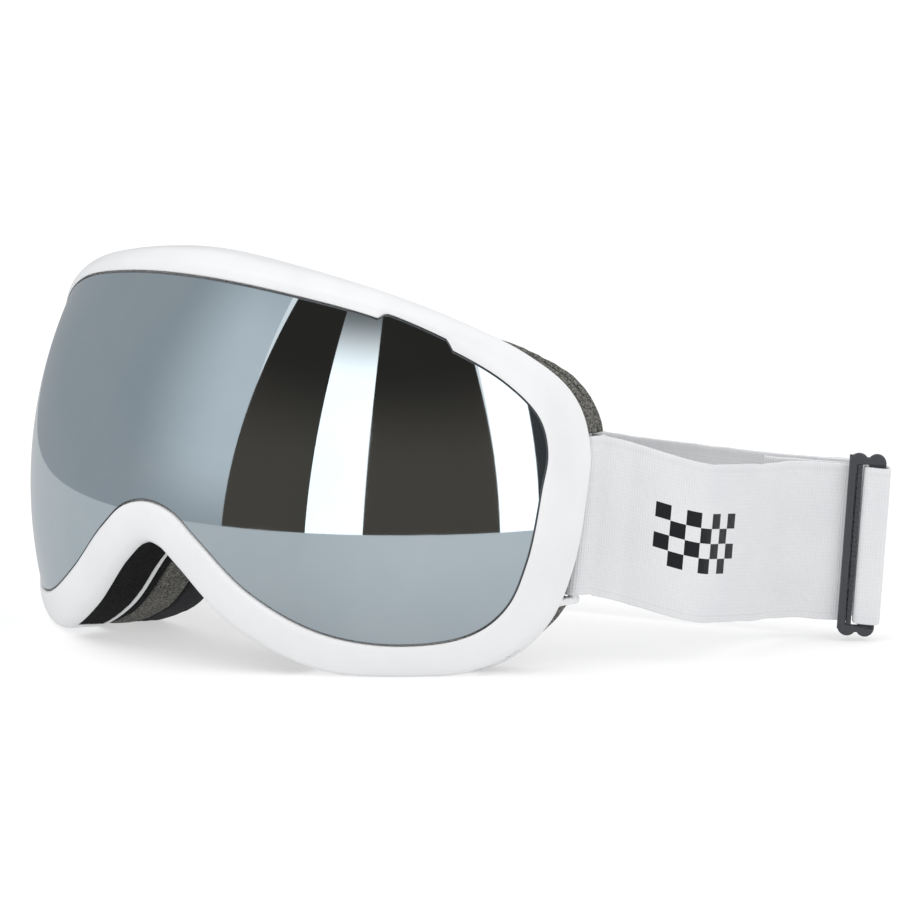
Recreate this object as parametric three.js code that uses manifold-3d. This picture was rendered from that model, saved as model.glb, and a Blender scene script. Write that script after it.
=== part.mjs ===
// Wrap-around goggles with a barrel-shaped mirrored lens, a moulded frame, layered face foam,
// and a two-piece elastic strap joined by a three-bar slider. Millimetres, +Z up.
// The lens barrel's vertical axis is the line x = 0, y = 0. The lens faces -Y, the wearer's
// left side is +X, and the goggles stand on the two lower lobes of the frame at z = 0.
import * as THREE from 'three';
import { mergeVertices } from 'three/addons/utils/BufferGeometryUtils.js';
import Module from 'manifold-3d';

const wasm = await Module();
wasm.setup();

// ---------------------------------------------------------------- driving dimensions
const BARREL_RADIUS = 94.2; // lens radius in plan, at its widest height
const BARREL_ARCH = 118.1; // lens radius in side view
const WIDEST_Z = 33.4; // height of the widest plan circle

// Right half of the lens outline, from the top centre to the middle of the nose arch.
// s is the distance round the barrel, z the height. band is the width of the frame's face
// outside the lens, depth how far its side wall runs back, foam the thickness of the padding,
// inset how far the padding stands in from the outer edge, and flare how far the outer edge
// spreads towards the nose from the face to the padding's rear.
const OUTLINE = [
  { s: 0, z: 95.2, band: 6.1, depth: 7, foam: 14, inset: 4.6, flare: 0 },
  { s: 30.4, z: 93.5, band: 5.6, depth: 6.5, foam: 13, inset: 5.2, flare: 0 },
  { s: 62.8, z: 88, band: 5.3, depth: 5.2, foam: 10.5, inset: 5.6, flare: 0 },
  { s: 84, z: 80.3, band: 6.2, depth: 4.6, foam: 9, inset: 3.7, flare: 0 },
  { s: 98, z: 72.2, band: 7.8, depth: 4.1, foam: 7.6, inset: 1.6, flare: 0 },
  { s: 106, z: 63.6, band: 9.5, depth: 3.9, foam: 7, inset: 0.6, flare: 0 },
  { s: 107.4, z: 55.5, band: 9.7, depth: 3.9, foam: 6.8, inset: 0.4, flare: 0 },
  { s: 105.2, z: 46.5, band: 10.3, depth: 3.9, foam: 6.8, inset: 0.4, flare: 0 },
  { s: 100.9, z: 28.6, band: 10.2, depth: 4.6, foam: 7.5, inset: 0.6, flare: 0 },
  { s: 96, z: 17.6, band: 10, depth: 5.3, foam: 8.5, inset: 2.2, flare: 0 },
  { s: 87.4, z: 11.2, band: 9.6, depth: 7, foam: 10.5, inset: 2.8, flare: 0 },
  { s: 69.2, z: 8.6, band: 9, depth: 9.6, foam: 14.5, inset: 2, flare: 0.6 },
  { s: 48.8, z: 11.5, band: 10.4, depth: 12.5, foam: 19, inset: 0.8, flare: 3.4 },
  { s: 30.7, z: 20.6, band: 11.2, depth: 15, foam: 23, inset: 0.4, flare: 5.5 },
  { s: 16.4, z: 33, band: 10.8, depth: 16, foam: 25, inset: 0.4, flare: 4.2 },
  { s: 8.4, z: 39.2, band: 11, depth: 16, foam: 25, inset: 0.4, flare: 1.6 },
  { s: 0, z: 41.2, band: 11, depth: 16, foam: 25, inset: 0.4, flare: 0 },
];
const TAB_START = 62.8; // the lens carries one low wide tab, on the wearer's left
const TAB_END = 84;
const TAB_RAMP = 2.2;
const TAB_HEIGHT = 1.8;
const STEP_ALONG = 5.6; // spacing of the cross-sections round the outline
const DIRECTION_PASSES = 10; // evens out the turn of the sections round tight corners

const LENS_THICKNESS = 1.2;
const LENS_GAP = 0.5; // play between lens edge and frame
const FRONT_GAP = 0.35; // play between stacked layers
const SPACER_INSET = 7; // spacer and inner lens stand this far inside the lens edge
const SPACER_WIDTH = 5;
const SPACER_THICKNESS = 1.8;
const INNER_LENS_THICKNESS = 1;

const LEDGE_REACH = 2.4; // the frame's ledge behind the lens edge
const LEDGE_THICKNESS = 1.6;
const FLANGE_WIDTH = 9.8; // rear flange that carries the padding
const FLANGE_THICKNESS = 1.6;
const FACE_RADIUS = 102.2; // plan radius of the flange, from a centre at FACE_CENTRE_Y
const FACE_CENTRE_Y = 24.2;
const VENT_FOAM_GAP = 0.3;
const VENT_FOAM_THICKNESS = 2;
const FOAM_GAP = 0.6; // play between flange and padding
const FOAM_INNER = 14; // the padding's inner edge, in from the frame's outer edge

const STRAP_WIDTH = 40;
const STRAP_THICKNESS = 1;
const STRAP_GAP = 0.28; // play between the strap and what it passes
const LUG_X = 83; // strap bar on the frame's temple, at mid height of the strap
const LUG_Y = -25.4;
const LUG_Z = 38.2;
const LUG_RADIUS = 1.25;
const LUG_LEAN = new THREE.Vector3(0.05, 0.07, 1).normalize();
const LUG_HALF_LENGTH = 22.3;
const ARM_THICKNESS = 1.7;
const SEWN_LENGTH = 12;

const SLIDER_X = 114.6; // centre of the slider
const SLIDER_Y = 47.6;
const SLIDER_Z = 24.5;
const SLIDER_HEADING = 41.88; // direction of the strap at the slider, degrees from +X
const SLIDER_TILT = 4; // degrees the slider leans along the strap
const SLIDER_HALF_HEIGHT = 23.25;

// ---------------------------------------------------------------- materials
const finish = (color, roughness, metalness = 0, extra = {}) =>
  new THREE.MeshStandardMaterial({ color, roughness, metalness, ...extra });
const WHITE_PLASTIC = finish(0xf2f3f4, 0.35);
const MIRROR = finish(0x98a4aa, 0.06, 0.95);
const CLEAR = finish(0xc8d2d6, 0.1, 0, { transparent: true, opacity: 0.4 });
const BLACK_FOAM = finish(0x1c1d1f, 0.95);
const GREY_FOAM = finish(0x5d5c57, 0.95);
const FLEECE = finish(0x232426, 1);
const WEBBING = finish(0xeeeef0, 0.85);
const GREY_PLASTIC = finish(0x3f4246, 0.5);

// ---------------------------------------------------------------- curve helpers
const clamp = THREE.MathUtils.clamp;
const lerp = THREE.MathUtils.lerp;
const smooth = (x) => x * x * (3 - 2 * x);

const barrelRadius = (z) =>
  BARREL_RADIUS - BARREL_ARCH + Math.sqrt(BARREL_ARCH ** 2 - (z - WIDEST_Z) ** 2);

// Point on the barrel, or under its surface by a radial depth.
function onBarrel(s, z, under = 0) {
  const angle = s / BARREL_RADIUS;
  const r = barrelRadius(z) - under;
  return new THREE.Vector3(r * Math.sin(angle), -r * Math.cos(angle), z);
}

// Point straight behind a barrel point, on the surface that lies under by a radial depth.
function behindBarrel(point, under) {
  const r = barrelRadius(point.z) - under;
  return new THREE.Vector3(point.x, -Math.sqrt(r * r - point.x * point.x), point.z);
}

const faceArc = (x) => FACE_CENTRE_Y - Math.sqrt(FACE_RADIUS ** 2 - x * x);

function tabHeight(s) {
  const rise = clamp((s - TAB_START) / TAB_RAMP, 0, 1);
  const fall = clamp((TAB_END - s) / TAB_RAMP, 0, 1);
  return TAB_HEIGHT * Math.min(rise, fall);
}

// Stations round the whole outline, clockwise as seen from the front, each with its place,
// outward direction in the unrolled surface, and the frame's sizes there.
function makeStations() {
  const left = OUTLINE.slice(1, -1).reverse().map((p) => ({ ...p, s: -p.s }));
  const knots = [...OUTLINE, ...left];
  const curve = new THREE.CatmullRomCurve3(
    knots.map((p) => new THREE.Vector3(p.s, p.z, 0)), true, 'centripetal');
  const sizes = new THREE.CatmullRomCurve3(
    knots.map((p) => new THREE.Vector3(p.band, p.depth, p.foam)), true, 'catmullrom', 0.5);
  const spreads = new THREE.CatmullRomCurve3(
    knots.map((p) => new THREE.Vector3(p.inset, p.flare, 0)), true, 'catmullrom', 0.5);
  const stations = [];
  knots.forEach((a, i) => {
    const b = knots[(i + 1) % knots.length];
    const isTab = a.s === TAB_START && b.s === TAB_END;
    const count = Math.max(1, Math.round(Math.hypot(a.s - b.s, a.z - b.z) / STEP_ALONG));
    const fractions = isTab ? [0, 0.1, 0.37, 0.63, 0.9]
      : Array.from({ length: count }, (_, k) => k / count);
    for (const f of fractions) {
      const t = (i + f) / knots.length;
      const p = curve.getPoint(t);
      const d = curve.getTangent(t);
      const size = sizes.getPoint(t);
      const spread = spreads.getPoint(t);
      const tab = p.y > WIDEST_Z ? tabHeight(p.x) : 0;
      stations.push({ s: p.x, z: p.y, ns: -d.y, nz: d.x, tab,
        band: size.x, depth: size.y, foam: size.z, inset: spread.x,
        flare: Math.max(spread.y, 0) });
    }
  });
  return stations;
}

// Point of the frame's face at a distance out from the lens edge.
const faceXZ = (st, out) => onBarrel(st.s + out * st.ns, st.z + out * st.nz);

// Adds to each station the frame's outer edge and its outward direction in front view.
function addOuterEdge(stations) {
  const edge = stations.map((st) => {
    const p = faceXZ(st, st.band);
    p.z = Math.max(p.z, 0);
    return p;
  });
  stations.forEach((st, i) => {
    const before = edge[(i + edge.length - 1) % edge.length];
    const after = edge[(i + 1) % edge.length];
    const along = new THREE.Vector2(after.x - before.x, after.z - before.z).normalize();
    st.edge = edge[i];
    st.nx = -along.y;
    st.nzFront = along.x;
  });
  for (let pass = 0; pass < DIRECTION_PASSES; pass += 1) {
    const old = stations.map((st) => new THREE.Vector2(st.nx, st.nzFront));
    stations.forEach((st, i) => {
      const before = old[(i + old.length - 1) % old.length];
      const after = old[(i + 1) % old.length];
      const mean = old[i].clone().multiplyScalar(2).add(before).add(after).normalize();
      [st.nx, st.nzFront] = [mean.x, mean.y];
    });
  }
}

const STATIONS = makeStations();
addOuterEdge(STATIONS);

// Point at a distance in from the outer edge, measured in front view, at depth y.
function inFromEdge(st, inset, y) {
  const back = clamp((y - st.edge.y) / (st.depth + st.foam), 0, 1);
  const reach = st.flare * back - inset;
  const z = Math.max(st.edge.z + reach * st.nzFront, 0);
  return new THREE.Vector3(st.edge.x + reach * st.nx, y, z);
}

// Rear surface of the flange at a plan position x, for one station.
const flangeY = (st, x) => st.edge.y + st.depth + faceArc(x) - faceArc(st.edge.x);

// ---------------------------------------------------------------- solids from stations
function toGeometry(points, triangles) {
  const geometry = new THREE.BufferGeometry();
  const flat = new Float32Array(points.flatMap((p) => [p.x, p.y, p.z]));
  geometry.setAttribute('position', new THREE.BufferAttribute(flat, 3));
  let volume = 0;
  for (let i = 0; i < triangles.length; i += 3) {
    const [a, b, c] = [0, 1, 2].map((k) => points[triangles[i + k]]);
    volume += a.dot(new THREE.Vector3().crossVectors(b, c));
  }
  if (volume < 0) {
    triangles.reverse();
  }
  geometry.setIndex(triangles);
  return geometry;
}

// Sweeps a closed profile through sections; a closed sweep joins its last section to its
// first, an open one is capped with a fan at each end.
function sweep(sections, closed = true) {
  const m = sections[0].length;
  const triangles = [];
  const spans = closed ? sections.length : sections.length - 1;
  for (let i = 0; i < spans; i += 1) {
    const here = i * m;
    const next = ((i + 1) % sections.length) * m;
    for (let j = 0; j < m; j += 1) {
      const k = (j + 1) % m;
      triangles.push(here + j, next + j, next + k, here + j, next + k, here + k);
    }
  }
  if (!closed) {
    const last = (sections.length - 1) * m;
    for (let j = 1; j < m - 1; j += 1) {
      triangles.push(0, j, j + 1, last, last + j + 1, last + j);
    }
  }
  return toGeometry(sections.flat(), triangles);
}

function toManifold(geometry) {
  const bare = geometry.clone();
  bare.deleteAttribute('normal');
  bare.deleteAttribute('uv');
  const merged = mergeVertices(bare, 1e-4);
  return new wasm.Manifold(new wasm.Mesh({
    numProp: 3,
    vertProperties: new Float32Array(merged.attributes.position.array),
    triVerts: new Uint32Array(merged.index.array),
  }));
}

function fromManifold(solid) {
  const mesh = solid.getMesh();
  const geometry = new THREE.BufferGeometry();
  geometry.setAttribute('position', new THREE.BufferAttribute(mesh.vertProperties, 3));
  geometry.setIndex(new THREE.BufferAttribute(mesh.triVerts, 1));
  return geometry;
}

// Stations along one stretch of the outline.
const stretch = (test) => STATIONS.filter(test);

// ---------------------------------------------------------------- frame
const wallThickness = (st) => 1.6 + 0.12 * st.depth;

const CHANNEL_FRONT = 12; // places in the frame's profile
const LEDGE_ROOT = 13;

function frameSection(st) {
  const face = (out, y) => {
    const p = faceXZ(st, out);
    p.z = Math.max(p.z, 0);
    p.y += y;
    return p;
  };
  const lip = st.tab + LENS_GAP;
  const width = st.band - lip;
  const rear = st.edge.y + st.depth;
  const wall = wallThickness(st);
  const flangeBack = (inset) => {
    const p = inFromEdge(st, inset, rear);
    p.y = flangeY(st, p.x);
    return p;
  };
  const flangeFront = (inset) => {
    const p = flangeBack(inset);
    p.y -= FLANGE_THICKNESS;
    return p;
  };
  const clearOfFlange = (p) => {
    p.y = Math.min(p.y, flangeY(st, p.x) - FLANGE_THICKNESS - 0.5);
    return p;
  };
  const cavityRear = flangeFront(wall);
  const cavityFront = cavityRear.clone();
  cavityFront.y = Math.min(cavityRear.y - 0.5, face(st.band - 1.5, 2.9).y);
  return [
    face(lip, -0.5),
    face(lip + Math.min(1, 0.2 * width), -1),
    face(lip + width / 2, -1.3),
    face(st.band - Math.min(1.7, 0.3 * width), -0.6),
    face(st.band - Math.min(0.5, 0.12 * width), 0.5),
    inFromEdge(st, 0, Math.min(st.edge.y + 1.9, rear - 1.4)),
    inFromEdge(st, 0, rear - 0.7),
    flangeBack(0.7),
    flangeBack(FLANGE_WIDTH / 2),
    flangeBack(FLANGE_WIDTH),
    flangeFront(FLANGE_WIDTH),
    cavityRear,
    cavityFront,
    clearOfFlange(behindBarrel(faceXZ(st, Math.min(lip + 1.6, st.band - wall - 0.3)),
      LENS_THICKNESS + LEDGE_THICKNESS + 0.7)),
    clearOfFlange(onBarrel(st.s - LEDGE_REACH * st.ns, st.z - LEDGE_REACH * st.nz,
      LENS_THICKNESS + FRONT_GAP + LEDGE_THICKNESS)),
    onBarrel(st.s - LEDGE_REACH * st.ns, st.z - LEDGE_REACH * st.nz, LENS_THICKNESS + FRONT_GAP),
    behindBarrel(faceXZ(st, lip), LENS_THICKNESS + FRONT_GAP),
  ];
}

// A strip that follows the outline: inset range from the outer edge, and a front and rear
// plane given as distances behind the face and ahead of the flange.
function edgeStrip(stations, insetOuter, insetInner, behindFace, aheadOfFlange) {
  return sweep(stations.map((st) => {
    const front = st.edge.y + behindFace;
    const outer = insetOuter(st);
    const inner = insetInner(st);
    const level = st.edge.y + st.depth;
    const rear = (inset) => flangeY(st, inFromEdge(st, inset, level).x) - aheadOfFlange;
    return [
      inFromEdge(st, outer, front),
      inFromEdge(st, outer, rear(outer)),
      inFromEdge(st, inner, rear(inner)),
      inFromEdge(st, inner, front),
    ];
  }), false);
}

const NOSE_REACH = 46;
const NOSE_RECESS = 1.9;
const noseStations = stretch((st) => Math.abs(st.s) < NOSE_REACH && st.z < WIDEST_Z + 12);
const ventStations = (side) => stretch((st) => side * st.s > 66 && st.z < 17.5);

// Vent slots through the lower wall of each lobe, one between each pair of ribs.
function ventSlots(side) {
  const run = ventStations(side);
  return run.slice(0, -1).map((st, i) => {
    const next = run[i + 1];
    const between = (f) => {
      const mixed = { ...st };
      for (const key of ['nx', 'nzFront', 'depth', 'foam', 'flare']) {
        mixed[key] = lerp(st[key], next[key], f);
      }
      mixed.edge = st.edge.clone().lerp(next.edge, f);
      return mixed;
    };
    return edgeStrip([between(0.14), between(0.86)], () => -3, (q) => wallThickness(q) + 0.4,
      2.2, FLANGE_THICKNESS + 0.3);
  });
}

function makeBar(side) {
  const bar = new THREE.CylinderGeometry(LUG_RADIUS, LUG_RADIUS, 2 * LUG_HALF_LENGTH, 12);
  const lean = new THREE.Vector3(side * LUG_LEAN.x, LUG_LEAN.y, LUG_LEAN.z);
  bar.applyQuaternion(new THREE.Quaternion().setFromUnitVectors(new THREE.Vector3(0, 1, 0), lean));
  bar.translate(side * LUG_X, LUG_Y, LUG_Z);
  return bar;
}

// Arms that hold one end of the strap bar off the rear flange.
function makeArm(side, end) {
  const tip = LUG_LEAN.clone().multiplyScalar(end * (LUG_HALF_LENGTH - ARM_THICKNESS / 2));
  const x = side * (LUG_X + tip.x);
  const y = LUG_Y + tip.y;
  const z = LUG_Z + tip.z;
  const length = 9.5;
  const arm = new THREE.BoxGeometry(3.2, length, ARM_THICKNESS);
  arm.translate(x - side * 0.4, y + 1.6 - length / 2, z);
  return arm;
}

function makeFrame() {
  let solid = toManifold(sweep(STATIONS.map(frameSection)));
  for (const side of [-1, 1]) {
    solid = solid.add(toManifold(makeBar(side)));
    for (const end of [-1, 1]) {
      solid = solid.add(toManifold(makeArm(side, end)));
    }
    for (const slot of ventSlots(side)) {
      solid = solid.subtract(toManifold(slot));
    }
  }
  const recess = edgeStrip(noseStations, () => -3, () => NOSE_RECESS, 2.4, FLANGE_THICKNESS);
  return fromManifold(solid.subtract(toManifold(recess)));
}

const makeNoseVentFoam = () => edgeStrip(noseStations.slice(1, -1), () => 0.25,
  () => NOSE_RECESS - 0.3, 2.4 + 0.35, FLANGE_THICKNESS + 0.35);

// Foam strip inside the channel behind the slots of one lobe, where the channel is open.
function makeVentFoam(side) {
  const sections = ventStations(side).map((st) => {
    const profile = frameSection(st);
    const root = lerp(profile[CHANNEL_FRONT].y, profile[LEDGE_ROOT].y, 0.6);
    const inset = wallThickness(st) + VENT_FOAM_GAP;
    const outer = inFromEdge(st, inset, profile[CHANNEL_FRONT].y + VENT_FOAM_GAP);
    const inner = inFromEdge(st, inset + VENT_FOAM_THICKNESS, root + VENT_FOAM_GAP);
    const back = [outer, inner].map((p) => new THREE.Vector3(
      p.x, flangeY(st, p.x) - FLANGE_THICKNESS - VENT_FOAM_GAP, p.z));
    return [outer, back[0], back[1], inner];
  });
  const open = sections.filter(([, , innerBack, inner]) => innerBack.y - inner.y > 0.5);
  return sweep(open, false);
}

// ---------------------------------------------------------------- lens unit
const SHELL_HALF_SPAN = 116; // half the arc of the uncut lens sheet
const SHELL_COLUMNS = 36;
const SHELL_TOP = 101;
const SHELL_ROWS = 10;

// Uncut sheet of lens: a patch of the barrel, between two radial depths under its face.
function lensSheet(under, thickness) {
  const points = [];
  const index = (row, column, back) =>
    2 * (row * (SHELL_COLUMNS + 1) + column) + back;
  for (let row = 0; row <= SHELL_ROWS; row += 1) {
    for (let column = 0; column <= SHELL_COLUMNS; column += 1) {
      const s = lerp(-SHELL_HALF_SPAN, SHELL_HALF_SPAN, column / SHELL_COLUMNS);
      const z = (SHELL_TOP * row) / SHELL_ROWS;
      points.push(onBarrel(s, z, under), onBarrel(s, z, under + thickness));
    }
  }
  const triangles = [];
  const quad = (p, q, r, t) => triangles.push(p, q, r, p, r, t);
  for (let row = 0; row < SHELL_ROWS; row += 1) {
    for (let column = 0; column < SHELL_COLUMNS; column += 1) {
      const corner = (back) => [index(row, column, back), index(row, column + 1, back),
        index(row + 1, column + 1, back), index(row + 1, column, back)];
      quad(...corner(0));
      quad(...corner(1).reverse());
    }
  }
  for (let column = 0; column < SHELL_COLUMNS; column += 1) {
    quad(index(0, column, 0), index(0, column, 1), index(0, column + 1, 1), index(0, column + 1, 0));
    quad(index(SHELL_ROWS, column, 0), index(SHELL_ROWS, column + 1, 0),
      index(SHELL_ROWS, column + 1, 1), index(SHELL_ROWS, column, 1));
  }
  for (let row = 0; row < SHELL_ROWS; row += 1) {
    quad(index(row, 0, 0), index(row + 1, 0, 0), index(row + 1, 0, 1), index(row, 0, 1));
    quad(index(row, SHELL_COLUMNS, 0), index(row, SHELL_COLUMNS, 1),
      index(row + 1, SHELL_COLUMNS, 1), index(row + 1, SHELL_COLUMNS, 0));
  }
  return toGeometry(points, triangles);
}

// A lens: the sheet trimmed to the outline, with its edge running straight back.
function makeLens(outOf, under, thickness) {
  const outline = STATIONS.map((st) => {
    const out = outOf(st);
    const p = onBarrel(st.s + out * st.ns, st.z + out * st.nz, under);
    return new THREE.Vector2(p.x, p.z);
  });
  const trim = new THREE.ExtrudeGeometry(new THREE.Shape(outline), {
    depth: BARREL_RADIUS + 5, bevelEnabled: false, steps: 1 });
  trim.rotateX(Math.PI / 2);
  return fromManifold(toManifold(lensSheet(under, thickness)).intersect(toManifold(trim)));
}

// ---------------------------------------------------------------- padding
// One layer of the face padding, between two shares of the padding's thickness.
function makeFoamLayer(from, to, rounding) {
  return sweep(STATIONS.map((st) => {
    const at = (inset, share, shift) => {
      const p = inFromEdge(st, inset, st.edge.y + st.depth + share * st.foam + shift);
      p.y = flangeY(st, p.x) + FOAM_GAP + share * st.foam + shift;
      return p;
    };
    const outer = st.inset;
    const middle = (outer + FOAM_INNER) / 2;
    return [
      at(outer, from, 0),
      at(outer, to, -rounding),
      at(outer + rounding, to, 0),
      at(middle, to, 0),
      at(FOAM_INNER - rounding, to, 0),
      at(FOAM_INNER, to, -rounding),
      at(FOAM_INNER, from, 0),
      at(middle, from, 0),
    ];
  }));
}

// Clears the padding from the strap bar and the strap's loop at each temple.
function clearTemples(geometry) {
  let solid = toManifold(geometry);
  for (const side of [-1, 1]) {
    const room = new THREE.BoxGeometry(14, 46, 2 * LUG_HALF_LENGTH + 0.8);
    room.applyMatrix4(new THREE.Matrix4().makeShear(
      0, 0, 0, 0, side * LUG_LEAN.x / LUG_LEAN.z, LUG_LEAN.y / LUG_LEAN.z));
    room.translate(side * (LUG_X + 2.6), LUG_Y, LUG_Z);
    solid = solid.subtract(toManifold(room));
  }
  return fromManifold(solid);
}

// ---------------------------------------------------------------- straps and slider
const heading = THREE.MathUtils.degToRad(SLIDER_HEADING);
const tilt = THREE.MathUtils.degToRad(SLIDER_TILT);
const ALONG = new THREE.Vector3(Math.cos(heading), Math.sin(heading), 0);
const FACING = new THREE.Vector3(Math.sin(heading), -Math.cos(heading), 0);
const SLIDER_UP = new THREE.Vector3(0, 0, Math.cos(tilt)).addScaledVector(ALONG, Math.sin(tilt));

// Plan point from slider coordinates: w along the strap, t towards the outside.
const fromSlider = (w, t) => new THREE.Vector2(
  SLIDER_X + w * ALONG.x + t * FACING.x, SLIDER_Y + w * ALONG.y + t * FACING.y);
const sliderW = (p) => (p.x - SLIDER_X) * ALONG.x + (p.y - SLIDER_Y) * ALONG.y;
const sliderRise = (w) => SLIDER_Z - Math.tan(tilt) * w;

// Height of the strap's middle and its leaning direction at a plan point. The near strap
// falls from the temple and levels out to the slider's tilt; the far strap rises evenly.
function nearStrapPlace(p) {
  const w = sliderW(p);
  const share = smooth(clamp((w + 58) / 44, 0, 1));
  const z = w < -68 ? LUG_Z : sliderRise(w) + 0.215 * Math.max(0, -28 - w);
  return { z: Math.min(z, LUG_Z), up: LUG_LEAN.clone().lerp(SLIDER_UP, share) };
}

function farStrapPlace(p) {
  const w = sliderW(p);
  const share = smooth(clamp((w + 180) / 150, 0, 1));
  const lean = new THREE.Vector3(-LUG_LEAN.x, LUG_LEAN.y, LUG_LEAN.z);
  const z = sliderRise(Math.max(w, -12)) + 0.035 * Math.max(0, Math.min(48, -12 - w))
    + 0.0818 * Math.max(0, -60 - w);
  return { z: Math.min(z, LUG_Z), up: lean.lerp(SLIDER_UP, share) };
}

// Stands a plan outline up into a band of webbing.
function standUp(outline, holes, place) {
  const shape = new THREE.Shape(
    THREE.ShapeUtils.isClockWise(outline) ? outline.slice().reverse() : outline);
  shape.holes = holes.map((h) => new THREE.Path(h));
  const band = new THREE.ExtrudeGeometry(shape, {
    depth: STRAP_WIDTH, bevelEnabled: false, steps: 1 });
  const position = band.attributes.position;
  for (let i = 0; i < position.count; i += 1) {
    const plan = new THREE.Vector2(position.getX(i), position.getY(i));
    const across = position.getZ(i) - STRAP_WIDTH / 2;
    const { z, up } = place(plan);
    const q = new THREE.Vector3(plan.x, plan.y, z).addScaledVector(up, across);
    position.setXYZ(i, q.x, q.y, q.z);
  }
  return fromManifold(toManifold(band));
}

// Both sides of a band of webbing along a path of plan points.
function bandSides(path) {
  const half = STRAP_THICKNESS / 2;
  const sides = [[], []];
  path.forEach((p, i) => {
    const before = path[Math.max(i - 1, 0)];
    const after = path[Math.min(i + 1, path.length - 1)];
    const d1 = p.clone().sub(before);
    const d2 = after.clone().sub(p);
    const along = (d1.length() ? d1.normalize() : d1).add(d2.length() ? d2.normalize() : d2);
    const d = along.normalize();
    const spread = i > 0 && i < path.length - 1
      ? 1 / Math.max(0.6, Math.abs(d.dot(p.clone().sub(before).normalize()))) : 1;
    sides[0].push(new THREE.Vector2(p.x + d.y * half * spread, p.y - d.x * half * spread));
    sides[1].push(new THREE.Vector2(p.x - d.y * half * spread, p.y + d.x * half * spread));
  });
  return sides;
}

// Plan axis that runs straight away from a bar: l along it, t to its left.
function straightAxis(origin, way) {
  const left = new THREE.Vector2(-way.y, way.x);
  return (l, t) => origin.clone().addScaledVector(way, l).addScaledVector(left, t);
}

// Plan axis that leaves a bar one way and then turns a quarter round to another.
function turningAxis(origin, way, aside, turnFrom, radius) {
  return (l, t) => {
    const angle = clamp((l - turnFrom) / radius, 0, Math.PI / 2);
    const past = Math.max(0, l - turnFrom - (radius * Math.PI) / 2);
    const ahead = Math.min(l, turnFrom) + radius * Math.sin(angle);
    const across = radius * (1 - Math.cos(angle)) + past;
    const d = way.clone().multiplyScalar(Math.cos(angle)).addScaledVector(aside, Math.sin(angle));
    return origin.clone().addScaledVector(way, ahead).addScaledVector(aside, across)
      .add(new THREE.Vector2(-d.y, d.x).multiplyScalar(t));
  };
}

// Points round the far side of a bar of rounded rectangular section, at a distance off it,
// in a plan axis's own l and t.
function roundBar(bar, off, count) {
  const flat = bar.halfWidth - bar.corner;
  const arc = (t, from) => Array.from({ length: count }, (_, i) => {
    const a = THREE.MathUtils.degToRad(from - (90 * i) / (count - 1));
    return [bar.corner - bar.halfDepth + (bar.corner + off) * Math.cos(a),
      t + (bar.corner + off) * Math.sin(a)];
  });
  return [...arc(-flat, -90), ...arc(flat, -180).slice(flat ? 0 : 1)];
}

// The end of a strap folded round a bar and sewn down. side = 1 puts the sewn-down ply on
// the left of the axis; the plies run straight past the bar before they close. Returns the
// fold's contour from the long ply's far side round the bar to the short ply's end, and the
// hole for the bar.
function foldedEnd(axis, side, bar, straight, sewn) {
  const at = (l, t) => axis(l, side * t);
  const inner = bar.halfWidth + STRAP_GAP;
  const outer = inner + STRAP_THICKNESS;
  const closed = straight + outer + 2.4;
  const spread = (l) => lerp(outer, STRAP_THICKNESS,
    smooth(clamp((l - straight) / (closed - straight), 0, 1)));
  const stops = [0, 0.2, 0.4, 0.6, 0.8, 1].map((f) => lerp(straight, closed, f))
    .slice(straight ? 0 : 1);
  const plies = [...stops, ...[0.2, 0.4, 0.6, 0.8, 1].map((f) => lerp(closed, sewn, f))];
  const apart = stops.filter((l) => spread(l) - STRAP_THICKNESS > 0.3);
  const wrap = (off, count) => roundBar(bar, off, count).map(([l, t]) => at(l, t));
  const contour = [
    ...plies.map((l) => at(l, -spread(l))).reverse(),
    ...wrap(STRAP_GAP + STRAP_THICKNESS, 6),
    ...plies.map((l) => at(l, spread(l))),
    at(sewn, 0),
  ];
  const hole = [
    ...apart.map((l) => at(l, STRAP_THICKNESS - spread(l))).reverse(),
    ...wrap(STRAP_GAP, 5),
    ...apart.map((l) => at(l, spread(l) - STRAP_THICKNESS)),
    at(apart[apart.length - 1] + 0.7, 0),
  ];
  return { contour, hole, longPly: at(sewn, -STRAP_THICKNESS / 2) };
}

const curveThrough = (points, count) =>
  new THREE.SplineCurve(points.map(([x, y]) => new THREE.Vector2(x, y))).getSpacedPoints(count);

// Slider bars, by their ends along the strap: the wide outer bar, the gripping bar beside it,
// the rear bar that the near strap is looped round, and the end bar that the far strap is
// sewn round.
const OUTER_BAR = [-5.8, -3.9];
const GRIP_BAR = [-3.65, -2.4];
const END_BAR = [-0.8, 3.5];
const END_BAR_DEPTH = [-0.6, 0.4]; // rear and front faces
const PLATE = [-1.3, 0.9]; // rear and front faces of the slider
const REAR_BAR_W = [-5.2, -4.1];
const REAR_BAR_RADIUS = 0.5;
const WINDOW_HALF = STRAP_WIDTH / 2 + 0.5;

const incoming = PLATE[0] - STRAP_GAP - STRAP_THICKNESS / 2;
const rearBarT = incoming - STRAP_THICKNESS / 2 - STRAP_GAP - REAR_BAR_RADIUS;
const tail = 2 * rearBarT - incoming;

const ROUND_LUG = { halfWidth: LUG_RADIUS, halfDepth: LUG_RADIUS, corner: LUG_RADIUS };

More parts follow.
